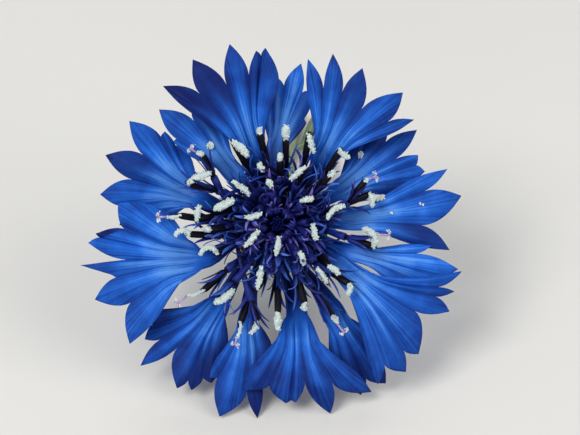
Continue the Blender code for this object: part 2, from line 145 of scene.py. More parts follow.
def end_directions(line: Array) -> tuple[Array, Array, Array]:
    """Gives a line's last direction and two directions square to it and to each other."""
    forward = unit(line[-1] - line[-2])
    side = unit(np.cross(forward, (0.3, 0.1, 1.0)))
    return forward, side, np.cross(forward, side)


def ripple(points: Array, size: float, seed: int) -> Array:
    """Gives smooth unevenness from −1 to 1: the mean of four sine waves in random directions.

    Args:
        points: Points in the last axis, in millimetres.
        size: Rough length of one wave, in millimetres.
        seed: Picks the waves.

    Returns:
        One value for each point.
    """
    draw = np.random.default_rng(seed)
    waves = unit(draw.normal(size=(4, 3))) * draw.uniform(0.7, 1.4, (4, 1)) * math.tau / size
    return np.sin(points @ waves.T + draw.uniform(0.0, math.tau, 4)).mean(axis=-1)


def swollen(body: Array, line: Array, factor: Array) -> Array:
    """Scales each ring of a body about its point of the centre line."""
    return line[:, None] + (body - line[:, None]) * factor


def sections(
    path: Array, wide: Array, thick: Array, across: Array, sides: int, channel: float = 0.0
) -> Array:
    """Carries an oval along a path.

    A point is the path's point, plus cos(turn) times the half width along the side vector, plus
    sin(turn) times the half thickness along the up vector. A channel adds the half width times
    its share times cos(turn)² − ½ along the up vector, which lifts both edges.

    Args:
        path: Centre points, one for each row.
        wide: Half width at each row.
        thick: Half thickness at each row.
        across: Vector that the side vector stays closest to, one or one for each row.
        sides: Columns round the oval.
        channel: How far the edges lie above the middle, as a share of the half width.

    Returns:
        Rows of sides + 1 points; the last column is on the first.
    """
    forward = unit(np.gradient(path, axis=0))
    across = np.broadcast_to(across, path.shape)
    side = unit(across - forward * (forward * across).sum(axis=1, keepdims=True))
    up = np.cross(forward, side)
    turn = np.linspace(0.0, math.tau, sides + 1)[None, :, None]
    wide = np.broadcast_to(wide, len(path))[:, None, None]
    thick = np.broadcast_to(thick, len(path))[:, None, None]
    lift = channel * wide * (np.cos(turn) ** 2 - 0.5) + thick * np.sin(turn)
    return path[:, None] + side[:, None] * wide * np.cos(turn) + up[:, None] * lift


def tube(path: Array, radius: Array, sides: int, across: Array = X_AXIS) -> Array:
    """Carries a circle along a path."""
    return sections(path, radius, radius, across, sides)


# ---- the head's place in the row's frame ----


@dataclass(frozen=True)
class HeadFrame:
    """The head's own frame, as it stands in the row's frame.

    Attributes:
        centre: The middle of the disc, in metres.
    """

    centre: Array

    @classmethod
    def from_receptacle(cls) -> "HeadFrame":
        """Finds the head from the box of the turned receptacle.

        A ring of radius r at height z reaches from −z·cos e − r·sin e to −z·cos e + r·sin e along
        Y, and from z·sin e − r·cos e upwards along Z, where e is the face's elevation.

        Returns:
            The frame.
        """
        low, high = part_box("receptacle")
        radius, height = np.array(RECEPTACLE_PROFILE).T
        sine, cosine = cls.slopes()
        near = (-height * cosine - radius * sine).min() * MM
        bottom = (height * sine - radius * cosine).min() * MM
        return cls(np.array([(low.x + high.x) / 2.0, low.y - near, low.z - bottom]))

    @staticmethod
    def slopes() -> Pair:
        """Gives the sine and cosine of the face's elevation."""
        angle = math.radians(FACE_ELEVATION)
        return math.sin(angle), math.cos(angle)

    def turned(self, points: Array) -> Array:
        """Turns vectors of the head's frame into the row's directions."""
        sine, cosine = self.slopes()
        x, y, z = np.moveaxis(np.asarray(points, dtype=float), -1, 0)
        return np.stack([x, sine * y - cosine * z, cosine * y + sine * z], axis=-1)

    def place(self, points: Array) -> Array:
        """Takes points of the head's frame, in millimetres, to the row's metres."""
        return self.turned(points) * MM + self.centre

    def place_lying(self, points: Array) -> Array:
        """Takes points of the surface's frame, with its origin under the disc's middle, there."""
        return points * MM + self.centre * (1.0, 1.0, 0.0)

    @property
    def height(self) -> float:
        """The disc's middle above the surface, in millimetres."""
        return float(self.centre[2]) / MM


# ---- meshes from arrays ----


class Draft:
    """Collects surfaces as arrays and makes one mesh object of them."""

    def __init__(self, masks: tuple[str, ...] = ()) -> None:
        """Starts an empty draft.

        Args:
            masks: Names of the per-point values that every surface of this draft gives.
        """
        self.masks: dict[str, list[Array]] = {name: [] for name in masks}
        self.points: list[Array] = []
        self.faces: list[Array] = []
        self.corner_uvs: list[Array] = []
        self.slots: list[Array] = []
        self.count = 0

    def _keep(self, points: Array, masks: dict[str, Array]) -> int:
        """Adds points with their masks.

        Args:
            points: The points.
            masks: Their per-point values; one that is left out is 0.

        Returns:
            The number of the first.
        """
        first = self.count
        self.points.append(points)
        for name, values in self.masks.items():
            values.append(np.broadcast_to(masks.get(name, 0.0), len(points)).astype(float))
        self.count += len(points)
        return first

    def _add(self, faces: Array, uvs: Array, slot: int) -> None:
        """Adds faces of one corner count with their corners' UVs."""
        self.faces.append(faces)
        self.corner_uvs.append(uvs.reshape(-1, 2))
        self.slots.append(np.full(len(faces), slot))

    def grid(
        self,
        points: Array,
        slot: int = 0,
        joined: int | None = None,
        capped: tuple[bool, bool] = (False, False),
        uv: Array | None = None,
        **masks: Array,
    ) -> None:
        """Adds a surface held as rows of points.

        Args:
            points: Rows × columns × 3.
            slot: Material slot of its faces.
            joined: How many rows, from the first, join their last column to their first; None
                joins all.
            capped: Whether the first and the last row are closed to a pole in their middle.
            uv: Rows × columns × 2; left out, it is the place across and along, from 0 to 1.
            **masks: Per-point values, rows × columns or less.
        """
        rows, columns = points.shape[:2]
        number = np.arange(rows * columns).reshape(rows, columns)
        number[:joined, -1] = number[:joined, 0]
        used, renumbered = np.unique(number, return_inverse=True)
        number = renumbered.reshape(rows, columns)
        spread = {}
        for name, values in masks.items():
            spread[name] = np.broadcast_to(values, (rows, columns)).reshape(-1)[used]
        first = self._keep(points.reshape(-1, 3)[used], spread)
        if uv is None:
            u, v = np.meshgrid(evenly(columns), evenly(rows))
            uv = np.stack([u, v], axis=-1)
        steps = ((0, 0), (0, 1), (1, 1), (1, 0))

        def corner(values: Array, step: tuple[int, int]) -> Array:
            """Gives one corner's value for every quad."""
            return values[step[0] : rows - 1 + step[0], step[1] : columns - 1 + step[1]]

        faces = np.stack([corner(number, s).reshape(-1) for s in steps], axis=-1)
        uvs = np.stack([corner(uv, s).reshape(-1, 2) for s in steps], axis=1)
        self._add(first + faces, uvs, slot)
        for row, wanted in zip((0, rows - 1), capped):
            if wanted:
                values = {name: spread[name][number[row]] for name in spread}
                self._cap(points[row], first + number[row], uv[row], row == 0, slot, values)

    def _cap(
        self, rim: Array, number: Array, uv: Array, start: bool, slot: int, masks: dict[str, Array]
    ) -> None:
        """Closes a ring to a pole in its middle, with triangles that face away from the surface.

        Args:
            rim: The ring's points; the last is on the first.
            number: Their numbers in the draft.
            uv: Their UVs.
            start: Whether the ring is the surface's first row.
            slot: Material slot of the triangles.
            masks: The ring's per-point values.
        """
        pole = self._keep(rim[:-1].mean(axis=0)[None], {key: masks[key].mean() for key in masks})
        size = len(rim) - 1
        order = (slice(1, None), slice(size)) if start else (slice(size), slice(1, None))
        middle = np.broadcast_to(uv.mean(axis=0), (size, 2))
        faces = np.stack([np.full(size, pole), *(number[part] for part in order)], axis=-1)
        self._add(faces, np.stack([middle, *(uv[part] for part in order)], axis=1), slot)

    def closed(self, points: Array, slot: int = 0, **masks: Array) -> None:
        """Adds a surface whose rows are rings and whose two ends are capped."""
        self.grid(points, slot, capped=(True, True), **masks)

    def grains(self, centres: Array, balls: Array, slot: int, tint: Array) -> None:
        """Adds small twenty-faced balls, given as points about their centres, balls × 12 × 3."""
        self.copies(centres[:, None] + balls, BALL_FACES, slot, tint=tint)

    def copies(self, points: Array, faces: Array, slot: int = 0, **masks: Array) -> None:
        """Adds many copies of a small closed solid.

        Args:
            points: Copies × points × 3.
            faces: Corner numbers of one copy's faces.
            slot: Material slot.
            **masks: One value for each copy.
        """
        amount, size = points.shape[:2]
        spread = {name: np.repeat(np.broadcast_to(masks[name], amount), size) for name in masks}
        first = self._keep(points.reshape(-1, 3), spread)
        every = faces[None] + (np.arange(amount) * size)[:, None, None] + first
        every = every.reshape(-1, faces.shape[1])
        self._add(every, np.zeros((every.size, 2)), slot)

    def build(self, name: str, place: Callable, *materials: Material) -> bpy.types.Object:
        """Makes the object.

        Args:
            name: The object's name.
            place: Takes the draft's points to the row's metres.
            *materials: Its material slots.

        Returns:
            A smooth-shaded mesh object that stands at the origin.
        """
        mesh = bpy.data.meshes.new(name)
        placed = place(np.concatenate(self.points))
        sizes = np.concatenate([np.full(len(f), f.shape[1]) for f in self.faces])
        corners = np.concatenate([f.reshape(-1) for f in self.faces])
        starts = np.concatenate([[0], np.cumsum(sizes)[:-1]])
        mesh.vertices.add(len(placed))
        mesh.vertices.foreach_set("co", placed.reshape(-1).astype(np.float32))
        mesh.loops.add(len(corners))
        mesh.loops.foreach_set("vertex_index", corners.astype(np.int32))
        mesh.polygons.add(len(sizes))
        mesh.polygons.foreach_set("loop_start", starts.astype(np.int32))
        mesh.polygons.foreach_set("material_index", np.concatenate(self.slots).astype(np.int32))
        layer = mesh.uv_layers.new(name="UVMap")
        layer.data.foreach_set("uv", np.concatenate(self.corner_uvs).reshape(-1).astype(np.float32))
        for mask, values in self.masks.items():
            attribute = mesh.attributes.new(mask, "FLOAT", "POINT")
            attribute.data.foreach_set("value", np.concatenate(values).astype(np.float32))
        for material in materials:
            mesh.materials.append(material)
        mesh.update(calc_edges=True)
        mesh.validate()
        mesh.shade_smooth()
        return add_object(name, mesh)


def icosahedron() -> tuple[Array, Array]:
    """Works out a ball of radius one with twenty faces.

    Returns:
        Its points and its faces, whose corners turn anticlockwise as seen from outside.
    """
    golden = (1.0 + math.sqrt(5.0)) / 2.0
    points = []
    for a in (-1.0, 1.0):
        for b in (-golden, golden):
            points += [(0.0, a, b), (a, b, 0.0), (b, 0.0, a)]
    points = unit(np.array(points))
    gaps = np.linalg.norm(points[:, None] - points, axis=-1)
    near = gaps < 1.01 * gaps[0, 1:].min()
    faces = []
    for i in range(12):
        for j in range(i + 1, 12):
            for k in range(j + 1, 12):
                if near[i, j] and near[j, k] and near[i, k]:
                    normal = np.cross(points[j] - points[i], points[k] - points[i])
                    faces.append((i, j, k) if normal @ points[i] > 0.0 else (i, k, j))
    return points, np.array(faces)


BALL, BALL_FACES = icosahedron()


def add_object(name: str, data: bpy.types.ID) -> bpy.types.Object:
    """Adds an object that holds a mesh, a light or a camera to the scene."""
    thing = bpy.data.objects.new(name, data)
    bpy.context.scene.collection.objects.link(thing)
    return thing


def finish_piece(piece: bpy.types.Object, slot: str, *nodes: str) -> None:
    """Attaches a piece to the frame and reports it.

    Args:
        piece: The finished object.
        slot: The record's material slot; not used.
        *nodes: CAD nodes that it stands for.
    """
    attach(piece, BODY)
    if nodes:
        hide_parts(*nodes)
    stands_for = ", ".join(nodes) or "nothing"
    LOG.info("%s: %d faces, stands for %s", piece.name, len(piece.data.polygons), stands_for)


# ---- shader building ----


class Tree:
    """Places and joins the nodes of one node tree."""

    def __init__(self, tree: bpy.types.NodeTree) -> None:
        """Wraps a tree."""
        self.tree = tree

    def feed(self, socket: Socket, value: object) -> None:
        """Joins an output to an input socket, or sets the socket to a plain value."""
        if isinstance(value, Socket):
            self.tree.links.new(value, socket)
        else:
            socket.default_value = value

    def add(self, kind: str, inputs: dict | None = None, **settings: object) -> Node:
        """Adds a node.

        Args:
            kind: Its type name, without the ShaderNode in front.
            inputs: Values or output sockets for its inputs, by name or number.
            **settings: Its properties.

        Returns:
            The node.
        """
        node = self.tree.nodes.new(kind if kind.startswith("NodeGroup") else f"ShaderNode{kind}")
        for name, value in settings.items():
            setattr(node, name, value)
        for key, value in (inputs or {}).items():
            self.feed(node.inputs[key], value)
        return node

    def math(self, operation: str, *values: object, clamp: bool = False) -> Socket:
        """Adds a Math node and gives its output."""
        node = self.add("Math", dict(enumerate(values)), operation=operation, use_clamp=clamp)
        return node.outputs[0]

    def scaled(self, value: object, factor: object, addend: object, clamp: bool = False) -> Socket:
        """Multiplies a value by a factor, adds another value and gives the output."""
        return self.math("MULTIPLY_ADD", value, factor, addend, clamp=clamp)

    def remap(
        self, value: object, source: tuple = (0.0, 1.0), target: tuple = (0.0, 1.0), smooth: bool = True
    ) -> Socket:
        """Takes one range of values to another.

        Args:
            value: The value.
            source: The ends of its range.
            target: What they become.
            smooth: Whether the change eases in and out.

        Returns:
            The new value, which stays within the target.
        """
        kind = "SMOOTHSTEP" if smooth else "LINEAR"
        inputs = dict(enumerate((value, *source, *target)))
        return self.add("MapRange", inputs, interpolation_type=kind).outputs[0]

    def mix(self, share: object, first: object, second: object) -> Socket:
        """Mixes two colours.

        Args:
            share: How much of the second one there is.
            first: A socket, or red, green and blue.
            second: The same for the second.

        Returns:
            The mixed colour.
        """
        node = self.add("Mix", {0: share}, data_type="RGBA", clamp_factor=True)
        for key, value in ((6, first), (7, second)):
            self.feed(node.inputs[key], value if isinstance(value, Socket) else (*value, 1.0))
        return node.outputs[2]

    def ramp(self, value: object, *stops: tuple[float, Colour]) -> Socket:
        """Reads a colour ramp.

        Args:
            value: Where on the ramp, from 0 to 1.
            *stops: Each stop's place and colour.

        Returns:
            The colour.
        """
        node = self.add("ValToRGB", {0: value})
        elements = node.color_ramp.elements
        while len(elements) < len(stops):
            elements.new(0.5)
        for element, (place, colour) in zip(elements, stops):
            element.position = place
            element.color = (*colour, 1.0)
        return node.outputs["Color"]

    def mask(self, name: str) -> Socket:
        """Reads one of the mesh's own per-point values."""
        return self.add("Attribute", attribute_name=name).outputs["Fac"]


def new_group(name: str, inputs: dict[str, object]) -> tuple[Tree, dict[str, Socket], Socket]:
    """Starts a shader node group that gives one value, called Mask.

    Args:
        name: The group's name.
        inputs: For each input its starting value, or None if it is a vector.

    Returns:
        The group's tree, its inputs by name, and where to feed the mask.
    """
    group = bpy.data.node_groups.new(name, "ShaderNodeTree")
    for label, value in inputs.items():
        kind = "NodeSocketVector" if value is None else "NodeSocketFloat"
        socket = group.interface.new_socket(label, in_out="INPUT", socket_type=kind)
        if value is not None:
            socket.default_value = value
    group.interface.new_socket("Mask", in_out="OUTPUT", socket_type="NodeSocketFloat")
    tree = Tree(group)
    given = tree.add("NodeGroupInput").outputs
    return tree, {label: given[label] for label in inputs}, tree.add("NodeGroupOutput").inputs["Mask"]


class Effects:
    """The effects that several finishes share, each a node group built once."""

    def __init__(self) -> None:
        """Builds the groups."""
        self.streaks = self._streaks()
        self.mottle = self._mottle()
        self.wool = self._wool()

    @staticmethod
    def _stretched(tree: Tree, noise: Node, contrast: Socket) -> Socket:
        """Maps the range of noise that lies within the contrast of its middle onto 0 to 1."""
        ends = (tree.math("SUBTRACT", 0.5, contrast), tree.math("ADD", 0.5, contrast))
        return tree.remap(noise.outputs[0], ends, smooth=False)

    @staticmethod
    def _own_noise(tree: Tree, size: Socket, **settings: float) -> Node:
        """Adds noise of a size in millimetres on the object's own coordinates."""
        coordinates = tree.add("TexCoord").outputs["Object"]
        scale = tree.math("DIVIDE", 1.0 / MM, size)
        return tree.add("TexNoise", {"Vector": coordinates, "Scale": scale, **settings})

    def _streaks(self) -> bpy.types.NodeTree:
        """Makes fine lengthwise lines: noise stretched far more across than along.

        Returns:
            The group.
        """
        inputs = {"Coordinates": None, "Across": 20.0, "Along": 1.0, "Sharpness": 0.2}
        tree, given, mask = new_group("fine_streaks", inputs)
        scale = tree.add("CombineXYZ", {0: given["Across"], 1: given["Along"], 2: 1.0}).outputs[0]
        place = tree.add("VectorMath", {0: given["Coordinates"], 1: scale}, operation="MULTIPLY")
        settings = {"Vector": place.outputs[0], "Scale": 1.0, "Detail": 2.0, "Roughness": 0.6}
        tree.feed(mask, self._stretched(tree, tree.add("TexNoise", settings), given["Sharpness"]))
        return tree.tree

    def _mottle(self) -> bpy.types.NodeTree:
        """Makes soft uneven patches of a given size.

        Returns:
            The group.
        """
        tree, given, mask = new_group("soft_mottle", {"Size": 1.0, "Contrast": 0.2})
        noise = self._own_noise(tree, given["Size"], Detail=3.0)
        tree.feed(mask, self._stretched(tree, noise, given["Contrast"]))
        return tree.tree

    def _wool(self) -> bpy.types.NodeTree:
        """Makes thin matted hairs: the ridges where warped noise passes its middle value.

        Returns:
            The group.
        """
        tree, given, mask = new_group("matted_wool", {"Size": 0.4, "Width": 0.05})
        noise = self._own_noise(tree, given["Size"], Detail=2.0, Distortion=1.6)
        away = tree.math("ABSOLUTE", tree.math("SUBTRACT", noise.outputs[0], 0.5))
        tree.feed(mask, tree.remap(away, (0.0, given["Width"]), (1.0, 0.0), smooth=False))
        return tree.tree


class Surface(Tree):
    """A Principled material in the making, which can place the shared effects."""

    def __init__(self, name: str, effects: Effects, **sockets: object) -> None:
        """Starts the material.

        Args:
            name: The material's name.
            effects: The shared effects.
            **sockets: Uniform values for the shader's own sockets, with _ for a space.
        """
        self.material = bpy.data.materials.new(name)
        self.material.use_nodes = True
        super().__init__(self.material.node_tree)
        self.effects = effects
        self.shader = self.tree.nodes["Principled BSDF"]
        for key, value in sockets.items():
            self.feed(self.shader.inputs[key.replace("_", " ")], value)

    @cached_property
    def place(self) -> Socket:
        """The mesh's UVs, read once."""
        return self.add("UVMap", uv_map="UVMap").outputs["UV"]

    def _effect(self, group: bpy.types.NodeTree, **inputs: object) -> Socket:
        """Places a shared effect and gives its mask."""
        return self.add("Group", inputs, node_tree=group).outputs["Mask"]

    def streaks(self, across: float, along: float, sharpness: float) -> Socket:
        """Places fine lengthwise lines."""
        inputs = {"Coordinates": self.place, "Across": across, "Along": along, "Sharpness": sharpness}
        return self._effect(self.effects.streaks, **inputs)

    def mottle(self, size: float, contrast: float) -> Socket:
        """Places soft patches of a size in millimetres."""
        return self._effect(self.effects.mottle, Size=size, Contrast=contrast)

    def wool(self, size: float, width: float) -> Socket:
        """Places matted hairs with gaps of a size in millimetres."""
        return self._effect(self.effects.wool, Size=size, Width=width)

    def dress(self, colour: Socket, roughness: Socket, height: Socket, relief: float) -> Material:
        """Feeds the shader its colour, its roughness and a bump.

        Args:
            colour: The base colour.
            roughness: The roughness.
            height: The bump's height, from 0 to 1.
            relief: Depth that a height of 1 stands for, in millimetres.

        Returns:
            The finished material.
        """
        bump = self.add("Bump", {"Height": height, "Distance": relief * MM, "Strength": 1.0})
        self.feed(self.shader.inputs["Base Color"], colour)
        self.feed(self.shader.inputs["Roughness"], roughness)
        self.feed(self.shader.inputs["Normal"], bump.outputs["Normal"])
        return self.material


# ---- finishes ----


@dataclass(frozen=True)
class PetalFinish:
    """Ray florets: saturated blue, streaked lengthwise, with violet-indigo tips that are partly violet
    tone and partly painted shade, painted shade in the creases, and painted light and shade from the light
    mask.
    """

    deep: Colour = (0.004, 0.021, 0.165)
    middle: Colour = (0.009, 0.080, 0.430)
    bright: Colour = (0.022, 0.165, 0.720)
    # pale is the painted highlight end of the ramp, reached where the light mask is high, near the throats
    pale: Colour = (0.110, 0.330, 0.870)
    # violet is the lobes' violet-indigo tone, which the violet mask also lays on as painted shade
    violet: Colour = (0.004, 0.009, 0.100)

    def build(self, effects: Effects) -> Material:
        """Makes the material from three masks: light, which is painted light and shade; violet, which is
        violet tone and partly painted shade; and the crease mask, which is painted shade in the creases.

        Args:
            effects: The shared effects.

        Returns:
            The material.
        """
        paint = Surface("petal_blue", effects, Specular_IOR_Level=0.10)
        fine, broad = paint.streaks(14.0, 0.7, 0.20), paint.streaks(3.6, 0.6, 0.30)
        patches, grain = paint.mottle(2.4, 0.22), paint.mottle(0.16, 0.3)
        light, violet, crease_shade = paint.mask("light"), paint.mask("violet"), paint.mask("crease_shade")
        # the tone carries the light mask's painted light and shade: painted highlights near the throats,
        # painted shade on the tubes and towards the rims
        tone = paint.scaled(fine, paint.scaled(light, 0.40, 0.24), light)
        tone = paint.scaled(broad, 0.26, tone)
        tone = paint.scaled(patches, 0.30, tone)
        tone = paint.math("SUBTRACT", paint.scaled(grain, 0.08, tone), 0.59)
        stops = ((0.0, self.deep), (0.33, self.middle), (0.66, self.bright), (1.0, self.pale))
        # violet mixes in by the violet mask: partly violet tone, partly painted shade of folded and
        # overlapped lobes
        streaky = paint.scaled(broad, 0.6, paint.scaled(fine, 0.6, 0.32))
        share = paint.math("MULTIPLY", violet, streaky, clamp=True)
        colour = paint.mix(share, paint.ramp(tone, *stops), self.violet)
        # painted shade: the creases darken towards deep
        colour = paint.mix(paint.math("MULTIPLY", crease_shade, 0.62), colour, self.deep)
        height = paint.math("SUBTRACT", paint.scaled(grain, 0.25, fine), crease_shade)
        return paint.dress(colour, paint.remap(fine, target=(0.46, 0.62)), height, 0.035)


@dataclass(frozen=True)
class CorollaFinish:
    """Disc florets' tubes and narrow lobes: navy to blue, blushed with violet near the middle; the navy
    deep in the tubes is painted shade and the light lobe edges are painted highlights.
    """

    navy: Colour = (0.002, 0.005, 0.065)
    blue: Colour = (0.010, 0.034, 0.300)
    bright: Colour = (0.050, 0.180, 0.720)
    plum: Colour = (0.005, 0.004, 0.066)
    violet: Colour = (0.042, 0.026, 0.270)
    lilac: Colour = (0.260, 0.170, 0.560)

    def build(self, effects: Effects) -> Material:
        """Makes the material from the masks tint, 0 dark and 1 light, which carries painted shade and
        painted highlights, and blush, 1 violet.

        Args:
            effects: The shared effects.

        Returns:
            The material.
        """
        paint = Surface("corolla_indigo", effects, Specular_IOR_Level=0.25)
        lines, patches = paint.streaks(9.0, 1.5, 0.25), paint.mottle(0.9, 0.2)
        tone = paint.math("SUBTRACT", paint.scaled(lines, 0.3, paint.mask("tint")), 0.25)
        tone = paint.scaled(patches, 0.3, tone)
        cool = paint.ramp(tone, (0.0, self.navy), (0.5, self.blue), (1.0, self.bright))
        warm = paint.ramp(tone, (0.0, self.plum), (0.5, self.violet), (1.0, self.lilac))
        colour = paint.mix(paint.mask("blush"), cool, warm)
        return paint.dress(colour, paint.remap(lines, target=(0.42, 0.6)), lines, 0.03)


@dataclass(frozen=True)
class AntherFinish:
    """Anther tubes: almost black, faintly violet, with a low satin gloss along their ribs."""

    black: Colour = (0.0008, 0.0007, 0.0028)
    bloom: Colour = (0.0045, 0.0035, 0.016)

    def build(self, effects: Effects) -> Material:
        """Makes the material.

        Args:
            effects: The shared effects.

        Returns:
            The material.
        """
        paint = Surface("anther_black", effects, Specular_IOR_Level=0.15)
        lines, patches = paint.streaks(14.0, 2.0, 0.2), paint.mottle(0.5, 0.2)
        colour = paint.mix(paint.math("MULTIPLY", lines, patches), self.black, self.bloom)
        return paint.dress(colour, paint.remap(patches, target=(0.42, 0.6)), lines, 0.03)


@dataclass(frozen=True)
class PollenFinish:
    """Pollen: chalky, faintly bluish white, mixed with grey in patches and grain by grain."""

    chalk: Colour = (0.83, 0.94, 0.89)
    # hollow is the grey that the tint mixes in, in patches and grain by grain
    hollow: Colour = (0.32, 0.41, 0.41)

    def build(self, effects: Effects) -> Material:
        """Makes the material from the mask tint, 0 chalk and 1 grey.

        Args:
            effects: The shared effects.

        Returns:
            The material.
        """
        paint = Surface("pollen_white", effects, Specular_IOR_Level=0.2)
        patches, grain = paint.mottle(0.5, 0.2), paint.mottle(0.11, 0.25)
        share = paint.scaled(patches, 0.3, paint.mask("tint"), clamp=True)
        colour = paint.mix(share, self.chalk, self.hollow)
        return paint.dress(colour, paint.remap(grain, target=(0.8, 0.95)), grain, 0.04)


@dataclass(frozen=True)
class StyleFinish:
    """Styles that stand out of their anther tubes: pinkish violet, paler in patches."""

    pink: Colour = (0.27, 0.17, 0.42)
    pale: Colour = (0.56, 0.44, 0.62)

    def build(self, effects: Effects) -> Material:
        """Makes the material.

        Args:
            effects: The shared effects.

        Returns:
            The material.
        """
        paint = Surface("style_pink", effects)
        patches, grain = paint.mottle(0.5, 0.2), paint.mottle(0.1, 0.25)
        colour = paint.mix(patches, self.pink, self.pale)
        return paint.dress(colour, paint.remap(grain, target=(0.45, 0.65)), grain, 0.02)


@dataclass(frozen=True)
class GreenFinish:
    """Stem, leaves and bracts: from dull to fresh green, under hairs that show by the share woolly."""

    name: str
    fresh: Colour
    dull: Colour
    wool: Colour = (0.50, 0.55, 0.46)
    woolly: float = 0.35
    margin: Colour = (0.060, 0.022, 0.010)
    fringe: Colour = (0.46, 0.40, 0.28)

    def build(self, effects: Effects) -> Material:
        """Makes the material from the masks margin and fringe.

        Args:
            effects: The shared effects.

        Returns:
            The material.
        """
        paint = Surface(self.name, effects, Sheen_Weight=0.25, Sheen_Roughness=0.4)
        lines, patches = paint.streaks(16.0, 3.0, 0.2), paint.mottle(2.0, 0.25)
        hairs = paint.wool(0.55, 0.045)
        tone = paint.scaled(lines, 0.55, paint.math("MULTIPLY", patches, 0.45))
        colour = paint.mix(tone, self.dull, self.fresh)
        colour = paint.mix(paint.math("MULTIPLY", hairs, self.woolly), colour, self.wool)
        colour = paint.mix(paint.mask("margin"), colour, self.margin)
        colour = paint.mix(paint.mask("fringe"), colour, self.fringe)
        height = paint.scaled(hairs, 0.7, paint.math("MULTIPLY", lines, 0.5))
        return paint.dress(colour, paint.remap(hairs, target=(0.5, 0.8)), height, 0.05)


@dataclass(frozen=True)
class PithFinish:
    """The receptacle and the stem's cut end: pale, spongy and slightly green."""

    cream: Colour = (0.58, 0.60, 0.38)
    green: Colour = (0.30, 0.38, 0.17)

    def build(self, effects: Effects) -> Material:
        """Makes the material.

        Args:
            effects: The shared effects.

        Returns:
            The material.
        """
        paint = Surface("pith_cream", effects)
        cells, patches = paint.mottle(0.12, 0.2), paint.mottle(1.2, 0.25)
        colour = paint.mix(paint.math("MULTIPLY", patches, cells), self.cream, self.green)
        return paint.dress(colour, paint.remap(cells, target=(0.6, 0.85)), cells, 0.05)


@dataclass
class Finishes:
    """Every material of the flower, made once."""

    effects: Effects = field(default_factory=Effects)

    def __post_init__(self) -> None:
        """Builds the materials."""
        bract = GreenFinish("bract_green", (0.17, 0.25, 0.09), (0.06, 0.11, 0.035), woolly=0.25)
        stem = GreenFinish("stem_green", (0.24, 0.32, 0.17), (0.10, 0.15, 0.075), woolly=0.55)
        leaf = GreenFinish("leaf_green", (0.12, 0.20, 0.08), (0.045, 0.09, 0.035), woolly=0.30)
        self.petal = PetalFinish().build(self.effects)
        self.corolla = CorollaFinish().build(self.effects)
        self.anther = AntherFinish().build(self.effects)
        self.pollen = PollenFinish().build(self.effects)
        self.style = StyleFinish().build(self.effects)
        self.bract, self.stem, self.leaf = (each.build(self.effects) for each in (bract, stem, leaf))
        self.pith = PithFinish().build(self.effects)


# ---- ray florets ----


class Level(Enum):
    """How high a fan lies: its throat's height, its rim's height and how far its sides lift."""

    TOP = (0.2, 3.1, 0.5)
    UPPER = (0.0, 2.4, 0.0)
    MIDDLE = (-0.5, 1.7, 0.0)
    LOW = (-1.2, 0.3, -0.5)


@dataclass(frozen=True)
class RayFloret:
    """One ray floret: a slim tube that opens through its throat into a lobed fan.

    Attributes:
        throat: Where the tube ends and the fan starts.
        level: How high the fan lies.
        droop: How far the lobes' tips bend down.
        light: Painted light: how brightly the fan is lit, painted into its colour, from 0 to 1.
        outline: The fan's edge as seen from the throat, from one side to the other: notches as (direction,
            distance) with the lobes' tips between them as (direction, distance, share of violet); the
            violet is partly the lobe's violet tone and partly painted shade where it lies folded or
            overlapped.
        needle: Number of a lobe that is drawn out to a needle, if one is.
        folded: Number of a lobe whose folded-over tip is not shaped but painted dark from there on, as
            painted shade, if one is.
        mouth: Half the throat's width.
        flare: How narrow the fan starts on its first and its last side, as a share of its
            final spread.
    """

    throat: Pair
    level: Level
    droop: float
    light: float
    outline: Outline
    needle: int | None = None
    folded: int | None = None
    mouth: float = 1.0
    flare: Pair = (0.75, 0.75)
